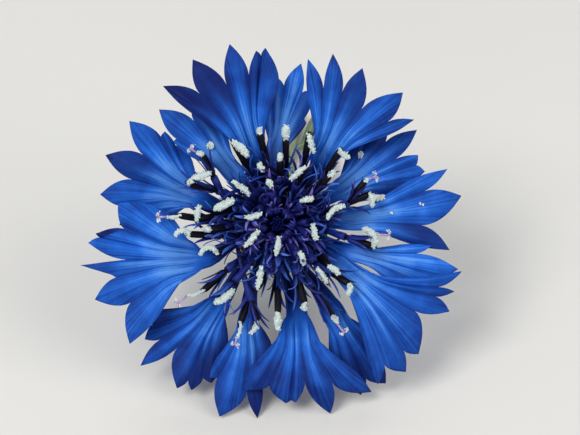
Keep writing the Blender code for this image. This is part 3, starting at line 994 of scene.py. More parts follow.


# each floret's fourth value, light, is painted light: how brightly that fan is lit
RAY_FLORETS = (
    RayFloret(
        (7.3, 0.4), Level.MIDDLE, 0.5, 0.60,
        ((-21, 8.0), (-15.3, 13.8, 0.85), (-4, 10.0), (11.5, 15.1, 0.1), (20, 10.9), (25.6, 14.5, 0.0),
         (33, 8.0)),
    ),
    RayFloret(
        (6.7, 3.6), Level.LOW, 0.3, 0.62,
        ((-6, 6.0), (3, 9.0, 0.9), (8, 9.4), (13.3, 11.4, 0.3), (18.7, 10.6), (24.5, 11.3, 0.2), (29, 8.6),
         (37.6, 12.8, 0.5), (46, 8.9), (53, 10.5, 0.95), (60, 8.2), (66, 8.0, 0.95), (78, 4.4)),
    ),
    RayFloret(
        (4.8, 6.9), Level.TOP, 0.6, 0.52,
        ((20, 8.3), (25.4, 12.8, 0.3), (30.5, 9.9), (41, 13.5, 0.1), (52, 8.6), (65.8, 12.9, 0.6),
         (72.8, 9.4), (82.5, 13.6, 0.25), (88, 9.2), (95.8, 12.9, 0.0), (103, 7.4)),
    ),
    RayFloret(
        (-0.6, 7.4), Level.LOW, 0.3, 0.78,
        ((43, 3.9), (46.5, 6.3, 0.95), (52, 6.6), (60, 10.0, 0.6), (67, 9.2), (74.2, 12.5, 0.0),
         (82.5, 9.4), (88, 10.4, 0.2), (93, 8.8), (99, 10.2, 0.2), (108, 5.5)),
    ),
    RayFloret(
        (-2.5, 7.4), Level.TOP, 0.6, 0.42,
        ((70, 8.8), (85.5, 13.7, 0.1), (87.2, 12.7), (90, 13.3, 0.5), (94.3, 10.4), (103, 14.5, 0.2),
         (111.7, 10.0), (122, 14.5, 0.85), (131.5, 10.7), (141, 14.5, 0.95), (146.5, 9.0)),
    ),
    RayFloret(
        (-4.8, 5.4), Level.MIDDLE, 0.4, 0.66,
        ((99, 7.5), (107, 9.6, 0.6), (113, 8.4), (120, 10.8, 0.7), (127, 8.8), (138.6, 12.7, 0.35),
         (148.3, 8.9), (151.5, 9.0, 0.2), (159, 5.6)),
    ),
    RayFloret(
        (-9.4, 3.1), Level.LOW, 0.3, 0.60,
        ((90, 3.6), (103, 6.9, 0.2), (110, 7.1), (115, 9.2, 0.2), (120, 8.9), (132.5, 12.7, 0.0),
         (141.7, 8.7), (155.5, 12.6, 0.8), (165.2, 8.6), (178, 12.1, 0.2), (189, 8.8), (200.5, 10.3, 0.8),
         (206, 7.7), (213, 7.7, 0.9), (224, 4.0)),
    ),
    RayFloret(
        (-9.4, -4.2), Level.TOP, 0.6, 0.60,
        ((126, 5.6), (145.5, 11.8, 0.0), (158.0, 9.7), (166.0, 12.7, 1.0), (167.5, 12.1),
         (171.5, 13.4, 0.0), (180.2, 8.8), (182.9, 14.3, 0.3), (192.5, 10.2), (201.3, 13.4, 0.15),
         (214.0, 9.7), (231.5, 13.1, 0.2), (241, 7.0)),
        needle=3, folded=1, mouth=1.3, flare=(1.1, 0.75),
    ),
    RayFloret(
        (-6.7, -9.1), Level.LOW, 0.5, 0.40,
        ((184, 7.5), (189.5, 11.9, 0.6), (197, 9.0), (206, 10.6, 0.2), (211, 9.0), (219, 12.8, 0.1),
         (226, 8.1), (243, 12.1, 0.4), (247.5, 10.6), (251.5, 11.6, 0.8), (257.5, 9.8), (264, 10.2, 0.9),
         (287, 3.8)),
    ),
    RayFloret(
        (-3.5, -10.3), Level.MIDDLE, 0.2, 0.45,
        ((231, 6.8), (237.5, 9.4, 0.1), (243, 9.0), (254.7, 13.3, 0.1), (268.5, 9.8), (274.5, 13.1, 0.9),
         (281, 9.0), (290, 8.6, 0.9), (313, 3.4)),
    ),
    RayFloret(
        (2.3, -11.1), Level.TOP, 2.6, 0.38,
        ((226, 7.6), (233.5, 10.8, 0.1), (247, 8.8), (262, 10.4, 0.15), (265.5, 9.9), (269, 10.2, 0.1),
         (277, 7.8), (289, 12.4, 0.3), (299.5, 8.9), (314.5, 12.8, 0.15), (321.5, 8.2)),
        mouth=1.3, flare=(0.95, 0.72),
    ),
    RayFloret(
        (6.0, -9.6), Level.LOW, 0.5, 0.34,
        ((268, 6.5), (277, 10.2, 0.5), (282, 9.6), (290, 11.8, 0.6), (297, 10.2), (306, 12.0, 0.5),
         (314, 9.4), (322, 10.4, 0.6), (332, 6.0)),
        mouth=1.2, flare=(0.8, 0.8),
    ),
    RayFloret(
        (6.3, -3.9), Level.TOP, 0.8, 0.56,
        ((286.5, 11.0), (290, 16.3, 0.3), (295, 14.4), (303.2, 16.5, 0.3), (306.8, 14.2),
         (311.8, 15.7, 0.3), (328.5, 12.0), (335.8, 15.7, 0.2), (342, 13.4), (345.6, 15.4, 0.5),
         (348.3, 13.3), (354.8, 15.8, 0.0), (357.0, 12.2)),
        mouth=1.1, flare=(0.6, 0.15),
    ),
    RayFloret(
        (8.3, -3.2), Level.UPPER, 0.6, 0.70,
        ((317, 7.8), (326, 9.6, 0.6), (333, 9.4), (341, 11.7, 0.3), (345, 11.5), (350.5, 13.5, 0.0),
         (359.5, 8.2), (364.7, 10.1, 0.0), (370, 6.4)),
        mouth=0.9, flare=(0.6, 0.75),
    ),
)


@dataclass
class RayRing:
    """The ring of ray florets.

    Attributes:
        base_radius: How far from the axis a floret stands on the receptacle.
        neck_radius: How far from the axis it leaves the cups.
        first_azimuth: Where the first one stands.
        leaving: Its way out of the neck, outwards and upwards.
        leaving_pull: How long it keeps that way.
        tube_radii: The tube's radius at the base, the neck, half way and the throat.
        base_rows: Rows from the base to the neck.
        tube_rows: Rows from the neck to the throat.
        fan_rows: Rows from the throat to the rim.
        half_lobe: Columns from a notch to a tip.
        wall: Thickness of the petal.
        slit: Share of the tube at which its seam opens, and the share of its round missing at
            the throat.
        opening: Share of the fan along which the tube's roundness dies away.
        rise_power: How early a fan rises.
        lobe_power: How soon a lobe reaches its tip's direction; less than one gives a needle.
        needle_power: The same for a needle.
        violet_start: Share of the reach at which a lobe's violet starts.
        violet_growth: Share over which it grows.
        fold_edge: Share over which it grows on the folded lobe, where the violet is painted shade of the
            fold.
        pleat: Height of the fold along each lobe.
        vein: Height of the fine ridges.
        vein_step: Angle between two of them.
        wave: Height of a fan's own unevenness.
        seed: Starts the random draws of the first floret.
    """

    base_radius: float = 3.8
    neck_radius: float = 3.85
    first_azimuth: float = 12.0
    leaving: Pair = (0.55, 0.83)
    leaving_pull: float = 0.7
    tube_radii: tuple[float, ...] = (0.42, 0.46, 0.50, 0.75)
    base_rows: int = 3
    tube_rows: int = 9
    fan_rows: int = 38
    half_lobe: int = 9
    wall: float = 0.09
    slit: Pair = (0.45, 0.36)
    opening: float = 0.5
    rise_power: float = 1.7
    lobe_power: float = 1.5
    needle_power: float = 0.65
    violet_start: float = 0.3
    violet_growth: float = 0.5
    fold_edge: float = 0.04
    pleat: float = 0.24
    vein: float = 0.022
    vein_step: float = 2.6
    wave: float = 0.22
    seed: int = 101

    def columns(self, floret: RayFloret) -> dict[str, Array]:
        """Works out the fan's columns.

        Between a notch and a tip the distance from the throat grows evenly with s, from 0 to 1.
        The direction goes from the notch's to the tip's as 1 − (1 − s^power)·(1 − s⁴ / 4), which
        makes a round-sided lobe with a pointed tip.

        Args:
            floret: The ray floret.

        Returns:
            For each column: angle, reach, cut (the notches' distance), offset (−1 at one notch,
            0 at the tip, 1 at the next), violet, start and growth (where the violet starts, and
            over how long a share it grows) and across (−1 at the first column, 1 at the last).
            On the folded lobe, which is not shaped as folded, the violet beyond the chord between its
            notches is painted shade of the fold.
        """
        s = evenly(self.half_lobe + 1)
        outline = floret.outline
        halves = []
        for k in range(1, len(outline), 2):
            before, tip, after = outline[k - 1 : k + 2]
            power = self.needle_power if floret.needle == k // 2 else self.lobe_power
            bend = 1.0 - (1.0 - s**power) * (1.0 - 0.25 * s**4)
            for notch, sign in ((before, -1.0), (after, 1.0)):
                angle = notch[0] + (tip[0] - notch[0]) * bend
                reach = notch[1] + (tip[1] - notch[1]) * s
                start, growth = self.violet_start, self.violet_growth
                if floret.folded == k // 2:
                    growth = self.fold_edge
                    chord = np.interp(angle, (before[0], after[0]), (before[1], after[1]))
                    start = chord / reach - growth
                values = (angle, reach, notch[1], sign * (1.0 - bend), tip[2], start, growth)
                half = np.stack(np.broadcast_arrays(*values))
                if sign > 0.0:
                    half = half[:, -2::-1]
                elif halves:
                    half = half[:, 1:]
                halves.append(half)
        names = ("angle", "reach", "cut", "offset", "violet", "start", "growth")
        column = dict(zip(names, np.concatenate(halves, axis=1)))
        angle = column["angle"]
        column["across"] = 2.0 * (angle - angle[0]) / (angle[-1] - angle[0]) - 1.0
        return column

    def path(self, number: int, throat: Array, slope: Array) -> tuple[Array, Array, Array]:
        """Gives the tube's path, the directions along it and its radii.

        It stands straight up from the base to the neck, then follows the cubic from the neck,
        along the way out, to the throat, along the fan's first slope.

        Args:
            number: The floret's number, from 0.
            throat: Where the tube ends.
            slope: Direction there.

        Returns:
            Points, unit directions and radii, one for each row.
        """
        azimuth = self.first_azimuth + number * 360.0 / len(RAY_FLORETS)
        base = polar(self.base_radius, azimuth, FLORET_BASE_Z)
        neck = polar(self.neck_radius, azimuth, NECK_Z)
        reach = np.linalg.norm(throat - neck)
        leaving = polar(self.leaving[0], azimuth, self.leaving[1]) * reach * self.leaving_pull
        up = np.linspace(0.0, 1.0, self.base_rows, endpoint=False)
        places = evenly(self.tube_rows)
        upper = hermite(neck, leaving, throat, slope * reach, places)
        path = np.vstack([base + (neck - base) * up[:, None], upper])
        forward = unit(np.gradient(path, axis=0))
        forward[-1] = slope
        stations = np.concatenate([up, 1.0 + 2.0 * places])
        return path, forward, np.interp(stations, range(len(self.tube_radii)), self.tube_radii)

    def circles(self, floret: RayFloret, forward: Array, across: Array) -> tuple[Array, int]:
        """Gives the tube's rings, for a radius of one, as vectors from its path.

        Each is square to the path. Its seam faces the head's axis and opens into a slit before
        the throat, and towards the throat the ring widens to the mouth.

        Args:
            floret: The ray floret.
            forward: The path's directions.
            across: Each column's place, from −1 to 1.

        Returns:
            Rows × columns × 3, and how many rows are closed.
        """
        inner = np.array([0.0, 0.0, 0.8]) - 0.6 * unit(np.array([*floret.throat, 0.0]))
        seam = unit(inner - forward * (forward @ inner)[:, None])
        side = np.cross(seam, forward)
        rows = len(forward)
        places = np.clip((np.arange(rows) - self.base_rows) / (self.tube_rows - 1), 0.0, 1.0)
        first, gap = self.slit
        slit = gap * smoothstep((places - first) / (1.0 - first))
        around = ((1.0 - slit)[:, None] * across * math.pi)[..., None]
        wider = floret.mouth / self.tube_radii[-1] - 1.0
        widened = 1.0 + wider * smoothstep(np.linspace(-0.6, 1.0, rows))[:, None, None]
        circle = -np.cos(around) * seam[:, None] + np.sin(around) * side[:, None] * widened
        return circle, int(np.count_nonzero(slit == 0.0))

    def lift(self, number: int, floret: RayFloret, column: dict[str, Array], far: Array) -> Array:
        """Gives the fan's height above its throat.

        It is the rise 1 − (1 − share)^power, plus the sides' lift, a pleat cos(π·offset) along
        each lobe, a ridge for each vein and two slow waves, less the droop beyond the notches.

        Args:
            number: The floret's number, from 0.
            floret: The ray floret.
            column: Its columns.
            far: Distance from the throat, rows × columns.

        Returns:
            Heights, rows × columns.
        """
        throat_z, rim_z, side_lift = floret.level.value
        longest = column["reach"].max()
        cut, across = column["cut"], column["across"]
        share = far / longest
        arch = np.sin(math.pi * share)
        pleat = self.pleat * np.cos(math.pi * column["offset"])
        vein = self.vein * np.cos(math.tau * column["angle"] / self.vein_step)
        draw = np.random.default_rng(self.seed + number)
        phases = draw.uniform(0.0, math.tau, 2)
        lift = (rim_z - throat_z) * (1.0 - (1.0 - share) ** self.rise_power)
        lift += side_lift * across**2 * arch
        lift += pleat * smoothstep(share / 0.8) * (1.0 - 0.5 * share**2)
        lift += vein * arch
        lift += self.wave * share * np.sin(4.2 * share + 2.6 * across + phases[0])
        lift += 0.5 * self.wave * share * np.sin(8.0 * share - 5.0 * across + phases[1])
        lift -= floret.droop * np.clip((far - cut) / (longest - cut), 0.0, 1.0) ** 1.5
        return lift

    def masks(self, floret: RayFloret, column: dict[str, Array], every: Array) -> dict[str, Array]:
        """Works out the colour masks.

        Violet grows towards the lobes' tips and on the tube's edges; it is partly the lobes' own violet
        tone and partly painted shade of folded and overlapped lobes. Creases run in from the notches, with
        a fainter one half way between each notch and tip; they are painted shade. The light mask is
        painted light and shade: the fan is lightest near its throat, a painted highlight, and along the
        lobes' middles, where the pleats stand up, it darkens towards the rim, and the tube is dark with
        painted shade.

        Args:
            floret: The ray floret.
            column: Its columns.
            every: Each row's share of the fan, less than 0 on the tube, rows × 1.

        Returns:
            The masks light, violet and crease, rows × columns.
        """
        reach, across, offset = column["reach"], column["across"], column["offset"]
        aside = np.abs(offset)
        tipped = smoothstep((every * reach / reach.max() - 0.88) / 0.12)
        begun = smoothstep((every - column["start"]) / column["growth"])
        # violet: partly the lobes' own tone, partly painted shade of folded and overlapped lobes
        violet = column["violet"] * begun * (1.0 - 0.25 * aside)
        tubular = 1.0 - smoothstep((every + 0.2) / 0.35)
        # the tips and the tube's edges get more violet, partly as painted shade
        violet = violet + 0.3 * tipped + 0.4 * tubular * np.abs(across)
        # painted shade in the creases from the notches, with fainter painted shade half way between
        crease_shade = aside**14 * smoothstep(every / 0.2) * (1.0 - 0.35 * every)
        minor = np.exp(-(((aside - 0.52) / 0.06) ** 2)) * smoothstep(every / 0.12)
        minor = minor * (1.0 - smoothstep(every / 0.75))
        # painted highlight: pale near the throat along the fan's middle, added to the fan's painted light;
        # darker towards the rim
        near = np.exp(-(((every - 0.26) / 0.27) ** 2)) * np.cos(across * math.pi / 2.0)
        light = floret.light + 0.34 * near - 0.18 * smoothstep((every - 0.45) / 0.5)
        # painted light along the lobes' middles, where the pleats stand up
        ridge = 0.13 * np.cos(math.pi * offset) * smoothstep(every / 0.15)
        light = light + ridge * (1.0 - 0.7 * every)
        # painted shade on the tube
        light = light - 0.30 * (1.0 - smoothstep((every + 0.25) / 0.38))
        crease_shade = np.maximum(crease_shade, 0.7 * minor)
        return {"light": light, "violet": np.clip(violet, 0.0, 1.0), "crease_shade": crease_shade}

    def sheet(self, number: int, floret: RayFloret) -> tuple[Array, Array, dict[str, Array], int]:
        """Works out the middle surface of a floret: the tube's circles, then the fan.

        In the fan each column runs out from the throat, and its direction spreads from the
        flare's share to the full angle. The tube's last circle is added to it and fades over
        the opening.

        Args:
            number: The floret's number, from 0.
            floret: The ray floret.

        Returns:
            The points, their UVs, the masks, and how many rows are the closed tube's.
        """
        throat_z, rim_z, _ = floret.level.value
        throat = np.array([*floret.throat, throat_z])
        column = self.columns(floret)
        angle, reach, across = column["angle"], column["reach"], column["across"]
        longest = reach.max()
        middle = (angle[0] + angle[-1]) / 2.0
        slope = unit(polar(longest, middle, self.rise_power * (rim_z - throat_z)))
        path, forward, radii = self.path(number, throat, slope)
        circle, closed = self.circles(floret, forward, across)
        tube_points = path[:, None] + radii[:, None, None] * circle

        out = evenly(self.fan_rows + 1)[1:, None]
        far = out * reach
        flare = np.interp(across, (-1.0, 1.0), floret.flare)
        spread = flare + (1.0 - flare) * (far / longest)
        bearing = np.radians(middle + (angle - middle) * spread)
        lift = self.lift(number, floret, column, far)
        fan = np.stack([far * np.cos(bearing), far * np.sin(bearing), lift], axis=-1) + throat
        fan += (1.0 - smoothstep(out / self.opening))[..., None] * radii[-1] * circle[-1]

        behind = np.linalg.norm(path - throat, axis=1)[:, None] / longest
        place = np.concatenate([np.linspace(-1.0, 0.0, len(path))[:, None], out]) * reach / 10.0
        uv = np.stack(np.broadcast_arrays(np.radians(angle) * 3.0 + number, place), axis=-1)
        masks = self.masks(floret, column, np.concatenate([-behind, out]))
        return np.concatenate([tube_points, fan]), uv, masks, closed

    def build(self, head: HeadFrame, finishes: Finishes) -> None:
        """Makes every ray floret, each in place of its CAD node.

        Args:
            head: The head's frame.
            finishes: All materials.
        """
        for number, floret in enumerate(RAY_FLORETS):
            points, uv, masks, tube_rows = self.sheet(number, floret)
            # the masks light and crease are painted light and shade; violet is partly painted shade
            draft = Draft(("light", "violet", "crease_shade"))
            draft.grid(points, joined=tube_rows, uv=uv, **masks)
            piece = draft.build(f"petal_{number + 1:02d}", head.place, finishes.petal)
            wall = piece.modifiers.new("wall", "SOLIDIFY")
            wall.thickness = self.wall * MM
            wall.offset = 0.0
            finish_piece(piece, "ray_petal", f"ray_floret_{number + 1:02d}")


# ---- disc florets ----


class Pollen(Enum):
    """The forms that pollen takes: half its width, and the angle through which it bends."""

    BAR = (0.43, 12.0)
    BROAD = (0.60, 20.0)
    CRUMB = (0.42, 60.0)
    CURVE = (0.42, 80.0)
    HOOD = (0.55, 120.0)
    ARCH = (0.40, 170.0)
    WISP = (0.22, 50.0)


@dataclass(frozen=True)
class DiscFloret:
    """One disc floret, by where its pollen lies on the face.

    Attributes:
        azimuth: Direction of the pollen's middle from the face's middle.
        radius: Distance of the pollen's middle.
        heading: Direction in which the pollen leads away from the tube's end.
        length: Length of the pollen.
        form: Its form.
        style: Length of a style that stands out beyond it, 0 for none.
    """

    azimuth: float
    radius: float
    heading: float
    length: float
    form: Pollen = Pollen.BAR
    style: float = 0.0


# each ring's florets, from the inner; the fourth ring's have no CAD node
DISC_RINGS = tuple(
    tuple(DiscFloret(*values) for values in ring)
    for ring in (
        ((41, 4.4, 193, 1.6), (101, 4.8, 295, 1.0), (160, 2.9, 10, 2.0), (208, 3.4, 49, 2.5),
         (270, 2.4, 80, 2.2), (306, 4.8, 108, 1.7), (350, 4.4, 103, 1.8)),
        ((12, 6.9, 215, 2.5, Pollen.CURVE), (43, 8.9, 40, 0.9, Pollen.CRUMB), (69, 6.4, 220, 2.3),
         (88, 8.1, 90, 0.9, Pollen.CRUMB), (135, 6.0, 322, 2.5), (159, 6.7, 24, 2.5, Pollen.BROAD),
         (184, 8.6, 170, 1.0, Pollen.CRUMB), (202, 9.1, 180, 2.3, Pollen.ARCH),
         (234, 10.6, 35, 2.7, Pollen.BROAD), (251, 6.6, 80, 2.8), (288, 10.4, 270, 0.9, Pollen.ARCH),
         (311, 7.9, 125, 2.1)),
        ((14, 11.5, 280, 1.6, Pollen.CRUMB), (46, 11.5, 320, 1.6, Pollen.CRUMB), (67, 10.3, 285, 2.3),
         (85, 11.1, 90, 1.7, Pollen.BROAD), (101, 11.4, 90, 0.8, Pollen.CRUMB),
         (116, 9.9, 318, 2.6, Pollen.BROAD), (149, 10.8, 25, 3.0, Pollen.BROAD), (171, 9.6, 80, 1.8),
         (176, 12.6, 190, 1.6, Pollen.WISP, 1.0), (186, 11.6, 180, 1.9, Pollen.ARCH),
         (220, 12.9, 200, 2.0, Pollen.WISP, 1.5), (250, 13.6, 260, 1.9, Pollen.WISP, 0.8),
         (270, 11.7, 270, 2.1, Pollen.BROAD), (301, 13.4, 308, 1.0, Pollen.CRUMB, 1.3),
         (317, 11.6, 260, 1.4, Pollen.CRUMB), (321, 8.7, 325, 1.6, Pollen.CRUMB),
         (352, 11.0, 115, 2.4, Pollen.HOOD, 1.9)),
        ((106, 6.9, 305, 1.1), (257, 12.8, 245, 1.6, Pollen.CRUMB),
         (138, 12.6, 150, 0.8, Pollen.CRUMB, 0.9), (26, 11.9, 25, 0.6, Pollen.WISP, 0.9)),
    )
)


@dataclass(frozen=True)
class LobeLook:
    """How one ring's corolla lobes look.

    Attributes:
        length: Shortest and longest.
        half: Narrowest and widest, as half the width.
        bend: Least and greatest angle through which one curls.
        light: Darkest and lightest.
        blush: Mean share of violet, from which a lobe's own lies up to a half away.
    """

    length: Pair
    half: Pair
    bend: Pair
    light: Pair
    blush: float


@dataclass
class DiscField:
    """All open disc florets.

    Attributes:
        ring_radii: How far from the axis each ring stands.
        first_azimuths: Where each ring's first floret stands.
        mouths: Each ring's mouths, as radius and height.
        tip_height: Height of a tip on the axis.
        tip_fall: How much lower a tip is for each millimetre further out.
        rise_pull: How long a floret keeps straight up out of the neck.
        lift: Bends the way out of a mouth towards the face axis.
        lobes: Number of corolla lobes, and of an anther tube's teeth.
        tube_radii: A corolla tube's radius at its foot, under its bell and at the bell's rim.
        lobe_start: Distance from the centre line at which a lobe starts.
        lobe_wall: Half the thickness of a lobe.
        shown: Shortest and longest part of an anther tube outside its corolla, for each ring.
        hidden: Length of it inside.
        anther_radii: Its radius at its foot, where it is widest and at its end.
        tooth: Length and half width of a tooth at its end, and distance from its centre line.
        style_radius: Radius of a style; its arms are slimmer.
        lobe_looks: How the corolla lobes of each ring look, then those of each young ring.
        one_way: Forms that always bend to the left; others bend to either side.
        tight_bend: Bend from which a pollen's line is measured along itself, not by its chord.
        seed: Starts every random draw.
    """

    ring_radii: tuple[float, ...] = (0.95, 1.8, 2.65, 2.2)
    first_azimuths: tuple[float, ...] = (41.0, 0.0, 14.0, 30.0)
    mouths: tuple[Pair, ...] = ((2.3, 0.4), (4.0, 0.0), (5.4, -0.5), (4.8, -0.6))
    tip_height: float = 5.9
    tip_fall: float = 0.22
    rise_pull: float = 1.3
    lift: float = 0.5
    lobes: int = 5
    tube_radii: tuple[float, ...] = (0.22, 0.27, 0.47)
    lobe_start: float = 0.33
    lobe_wall: float = 0.05
    shown: tuple[Pair, ...] = ((1.2, 1.9), (2.7, 3.9), (3.6, 5.4), (2.4, 3.4))
    hidden: float = 0.8
    anther_radii: tuple[float, ...] = (0.30, 0.41, 0.28)
    tooth: tuple[float, ...] = (0.5, 0.10, 0.22)
    style_radius: float = 0.13
    lobe_looks: tuple[LobeLook, ...] = (
        LobeLook((2.0, 3.2), (0.12, 0.22), (20.0, 130.0), (0.05, 1.50), 0.50),
        LobeLook((2.8, 4.4), (0.16, 0.28), (5.0, 75.0), (0.10, 1.30), 0.18),
        LobeLook((3.2, 5.2), (0.18, 0.32), (0.0, 42.0), (0.15, 1.20), -0.10),
        LobeLook((2.8, 4.4), (0.16, 0.28), (5.0, 65.0), (0.15, 1.10), 0.10),
        LobeLook((1.3, 2.3), (0.10, 0.17), (10.0, 120.0), (0.05, 1.65), 0.55),
        LobeLook((2.2, 3.6), (0.12, 0.22), (5.0, 95.0), (0.05, 1.65), 0.25),
        LobeLook((2.6, 4.2), (0.15, 0.27), (0.0, 65.0), (0.15, 1.30), -0.10),
    )
    one_way: tuple[Pollen, ...] = (Pollen.CURVE, Pollen.HOOD, Pollen.ARCH)
    tight_bend: float = 100.0
    seed: int = 7

    def path(self, ring: int, index: int, floret: DiscFloret) -> tuple[Array, Array]:
        """Gives the floret's centre line below and above its mouth.

        Below, it stands straight up from the base to the neck and follows a cubic to the mouth.
        Above, a second cubic leads from the mouth to the anther tube's end, which lies half
        the pollen's length behind the pollen's middle.

        Args:
            ring: Number of the ring, from the inner.
            index: Number in the ring.
            floret: The disc floret.

        Returns:
            Points from the base to the mouth, and points from the mouth to the end.
        """
        count = len(DISC_RINGS[ring])
        base_azimuth = self.first_azimuths[ring] + index * 360.0 / count
        mouth_radius, mouth_z = self.mouths[ring]
        base = polar(self.ring_radii[ring], base_azimuth, FLORET_BASE_Z)
        neck = polar(self.ring_radii[ring], base_azimuth, NECK_Z)
        turned = (floret.azimuth - base_azimuth + 180.0) % 360.0 - 180.0
        mouth = polar(mouth_radius, base_azimuth + 0.5 * turned, mouth_z)
        tip = polar(floret.radius, floret.azimuth, self.tip_height - self.tip_fall * floret.radius)
        tip = tip - polar(0.5 * floret.length, floret.heading, 0.25)
        rise, run = np.linalg.norm(mouth - neck), np.linalg.norm(tip - mouth)
        opening = unit(unit(mouth - neck) + unit(tip - mouth) + self.lift * Z_AXIS)
        arriving = (tip - mouth) * (1.1, 1.1, 0.5)
        up = np.linspace(0.0, 1.0, 4, endpoint=False)[:, None]
        straight = self.rise_pull * Z_AXIS * rise
        lower = hermite(neck, straight, mouth, opening * rise, evenly(12))
        upper = hermite(mouth, opening * run, tip, arriving, evenly(18))
        return np.vstack([base + (neck - base) * up, lower]), upper

    def corolla(self, draft: Draft, line: Array, draw: Generator, ring: int) -> None:
        """Adds the corolla: a slim tube with a bell and narrow lobes that curl away from it.

        A lobe starts on the bell's rim and bends away from the tube's direction: its slope turns
        from one angle to another as it goes, and its sideways drift makes it curl.

        Args:
            draft: The floret's mesh.
            line: The tube's centre line.
            draw: Random draws.
            ring: Number of the ring.
        """
        look = self.lobe_looks[ring]
        place = evenly(len(line))
        foot, throat, rim = self.tube_radii
        radii = foot + (throat - foot) * smoothstep(place / 0.7)
        radii = radii + (rim - throat) * smoothstep((place - 0.78) / 0.2)
        # painted shade: the tube is dark low down among the other florets and lightens only near its bell
        tint = 0.34 * place[:, None] ** 4 - 0.08
        draft.closed(tube(line, radii, 12), 0, tint=tint, blush=max(look.blush, 0.0))
        forward, side, up = end_directions(line)
        t = evenly(8)
        edges = np.abs(np.cos(np.linspace(0.0, math.tau, 7)))
        first = draw.uniform(0.0, 72.0)
        for k in range(self.lobes):
            azimuth = math.radians(first + k * 360.0 / self.lobes + draw.uniform(-16.0, 16.0))
            outward = side * math.cos(azimuth) + up * math.sin(azimuth)
            sideways = np.cross(forward, outward)
            length = draw.uniform(*look.length)
            bend = math.radians(8.0) + math.radians(draw.uniform(*look.bend)) * t**1.6
            drift = draw.uniform(-0.6, 0.6) * t**2
            turns = np.stack([np.cos(bend), np.sin(bend), drift], axis=-1)
            step = unit((turns[..., None] * np.stack([forward, outward, sideways])).sum(axis=1))
            centre = line[-1] + self.lobe_start * outward + np.cumsum(step, axis=0) * length / len(t)
            half = draw.uniform(*look.half) * (0.75 + 0.6 * t) * (1.0 - t**2.2) ** 0.9 + 0.02
            blade = sections(centre, half, self.lobe_wall, sideways, 6, channel=0.5)
            # each lobe's lightness is drawn at random, with painted shade at its foot and painted
            # highlights along its edges
            tint = draw.uniform(*look.light) * (0.45 + 0.55 * t[:, None]) * (0.6 + 0.65 * edges)
            tinge = np.clip(look.blush + draw.uniform(-0.5, 0.5), 0.0, 1.0)
            draft.closed(blade, 0, tint=tint, blush=tinge)

    def anther(self, draft: Draft, upper: Array) -> None:
        """Adds the anther tube: five ribs round it and five short teeth at its end.

        The radius steps smoothly from one of the three to the next, times
        1 + 0.07·cos(5·turn) for the ribs.

        Args:
            draft: The floret's mesh.
            upper: Its centre line.
        """
        place = evenly(len(upper))
        foot, widest, end = self.anther_radii
        radius = foot + (widest - foot) * smoothstep((place - 0.1) / 0.35)
        radius = radius + (end - widest) * smoothstep((place - 0.93) / 0.07)
        turn = np.linspace(0.0, math.tau, 21)[None, :, None]
        ribs = swollen(tube(upper, radius, 20), upper, 1.0 + 0.07 * np.cos(self.lobes * turn))
        draft.closed(ribs, 1)
        forward, side, up = end_directions(upper)
        t = evenly(5)
        length, half, gap = self.tooth
        for azimuth in np.radians(np.arange(self.lobes) * 360.0 / self.lobes):
            outward = side * math.cos(azimuth) + up * math.sin(azimuth)
            centre = upper[-1] + outward * gap + (forward * length - outward * 0.06) * t[:, None]
            draft.closed(sections(centre, half * (1.0 - t) + 0.012, 0.5 * half, outward, 6), 1)

    def pollen(self, draft: Draft, floret: DiscFloret, end: Array, draw: Generator) -> Array:
        """Adds the pollen: a lumpy body along a bent line, covered in grains.

        The line turns evenly through the form's bend as it goes, on the side that keeps its
        chord on the heading. The body's radius is the form's, times 1 plus noise.

        Args:
            draft: The floret's mesh.
            floret: The disc floret.
            end: Where the anther tube ends.
            draw: Random draws.

        Returns:
            Where a style comes out: the line's last point, or the middle of a hood's.
        """
        radius, bend = floret.form.value
        t = evenly(16)
        turned = bend if floret.form in self.one_way else bend * draw.choice([-1.0, 1.0])
        heading = np.radians(floret.heading + turned * (t - 0.5))
        step = np.stack([np.cos(heading), np.sin(heading), np.full(t.shape, 0.12)], axis=-1)
        line = np.cumsum(step, axis=0)
        chord = np.linalg.norm(line[-1, :2] - line[0, :2])
        reach = chord if bend < self.tight_bend else 0.75 * len(t)
        line = (line - line[0]) * floret.length / reach
        line += end + 0.28 * Z_AXIS - unit(step[:1]) * 0.15
        swell = radius * np.sqrt(np.sin(math.pi * np.clip(t, 0.05, 0.95))) ** 0.7
        body = sections(line, swell * 0.86, swell * 0.75, Z_AXIS, 12)
        lumps = ripple(body, 0.7, int(draw.integers(1 << 30)))[..., None]
        body = swollen(body, line, 1.0 + 0.25 * lumps)
        draft.closed(body, 2, tint=0.25)
        count = int(26 + 22 * floret.length * (radius / 0.42))
        rows, around = draw.integers(0, len(t), count), draw.integers(0, 12, count)
        outset = draw.uniform(0.8, 1.1, (count, 1))
        centres = line[rows] + (body[rows, around] - line[rows]) * outset
        centres += draw.normal(0.0, 0.03, (count, 3))
        sizes = draw.uniform(0.07, 0.15, (count, 1, 1))
        balls = BALL * sizes * draw.uniform(0.7, 1.3, (count, 12, 1))
        draft.grains(centres, balls, 2, draw.uniform(0.0, 0.5, count))
        return line[len(t) // 2] if floret.form is Pollen.HOOD else line[-1]

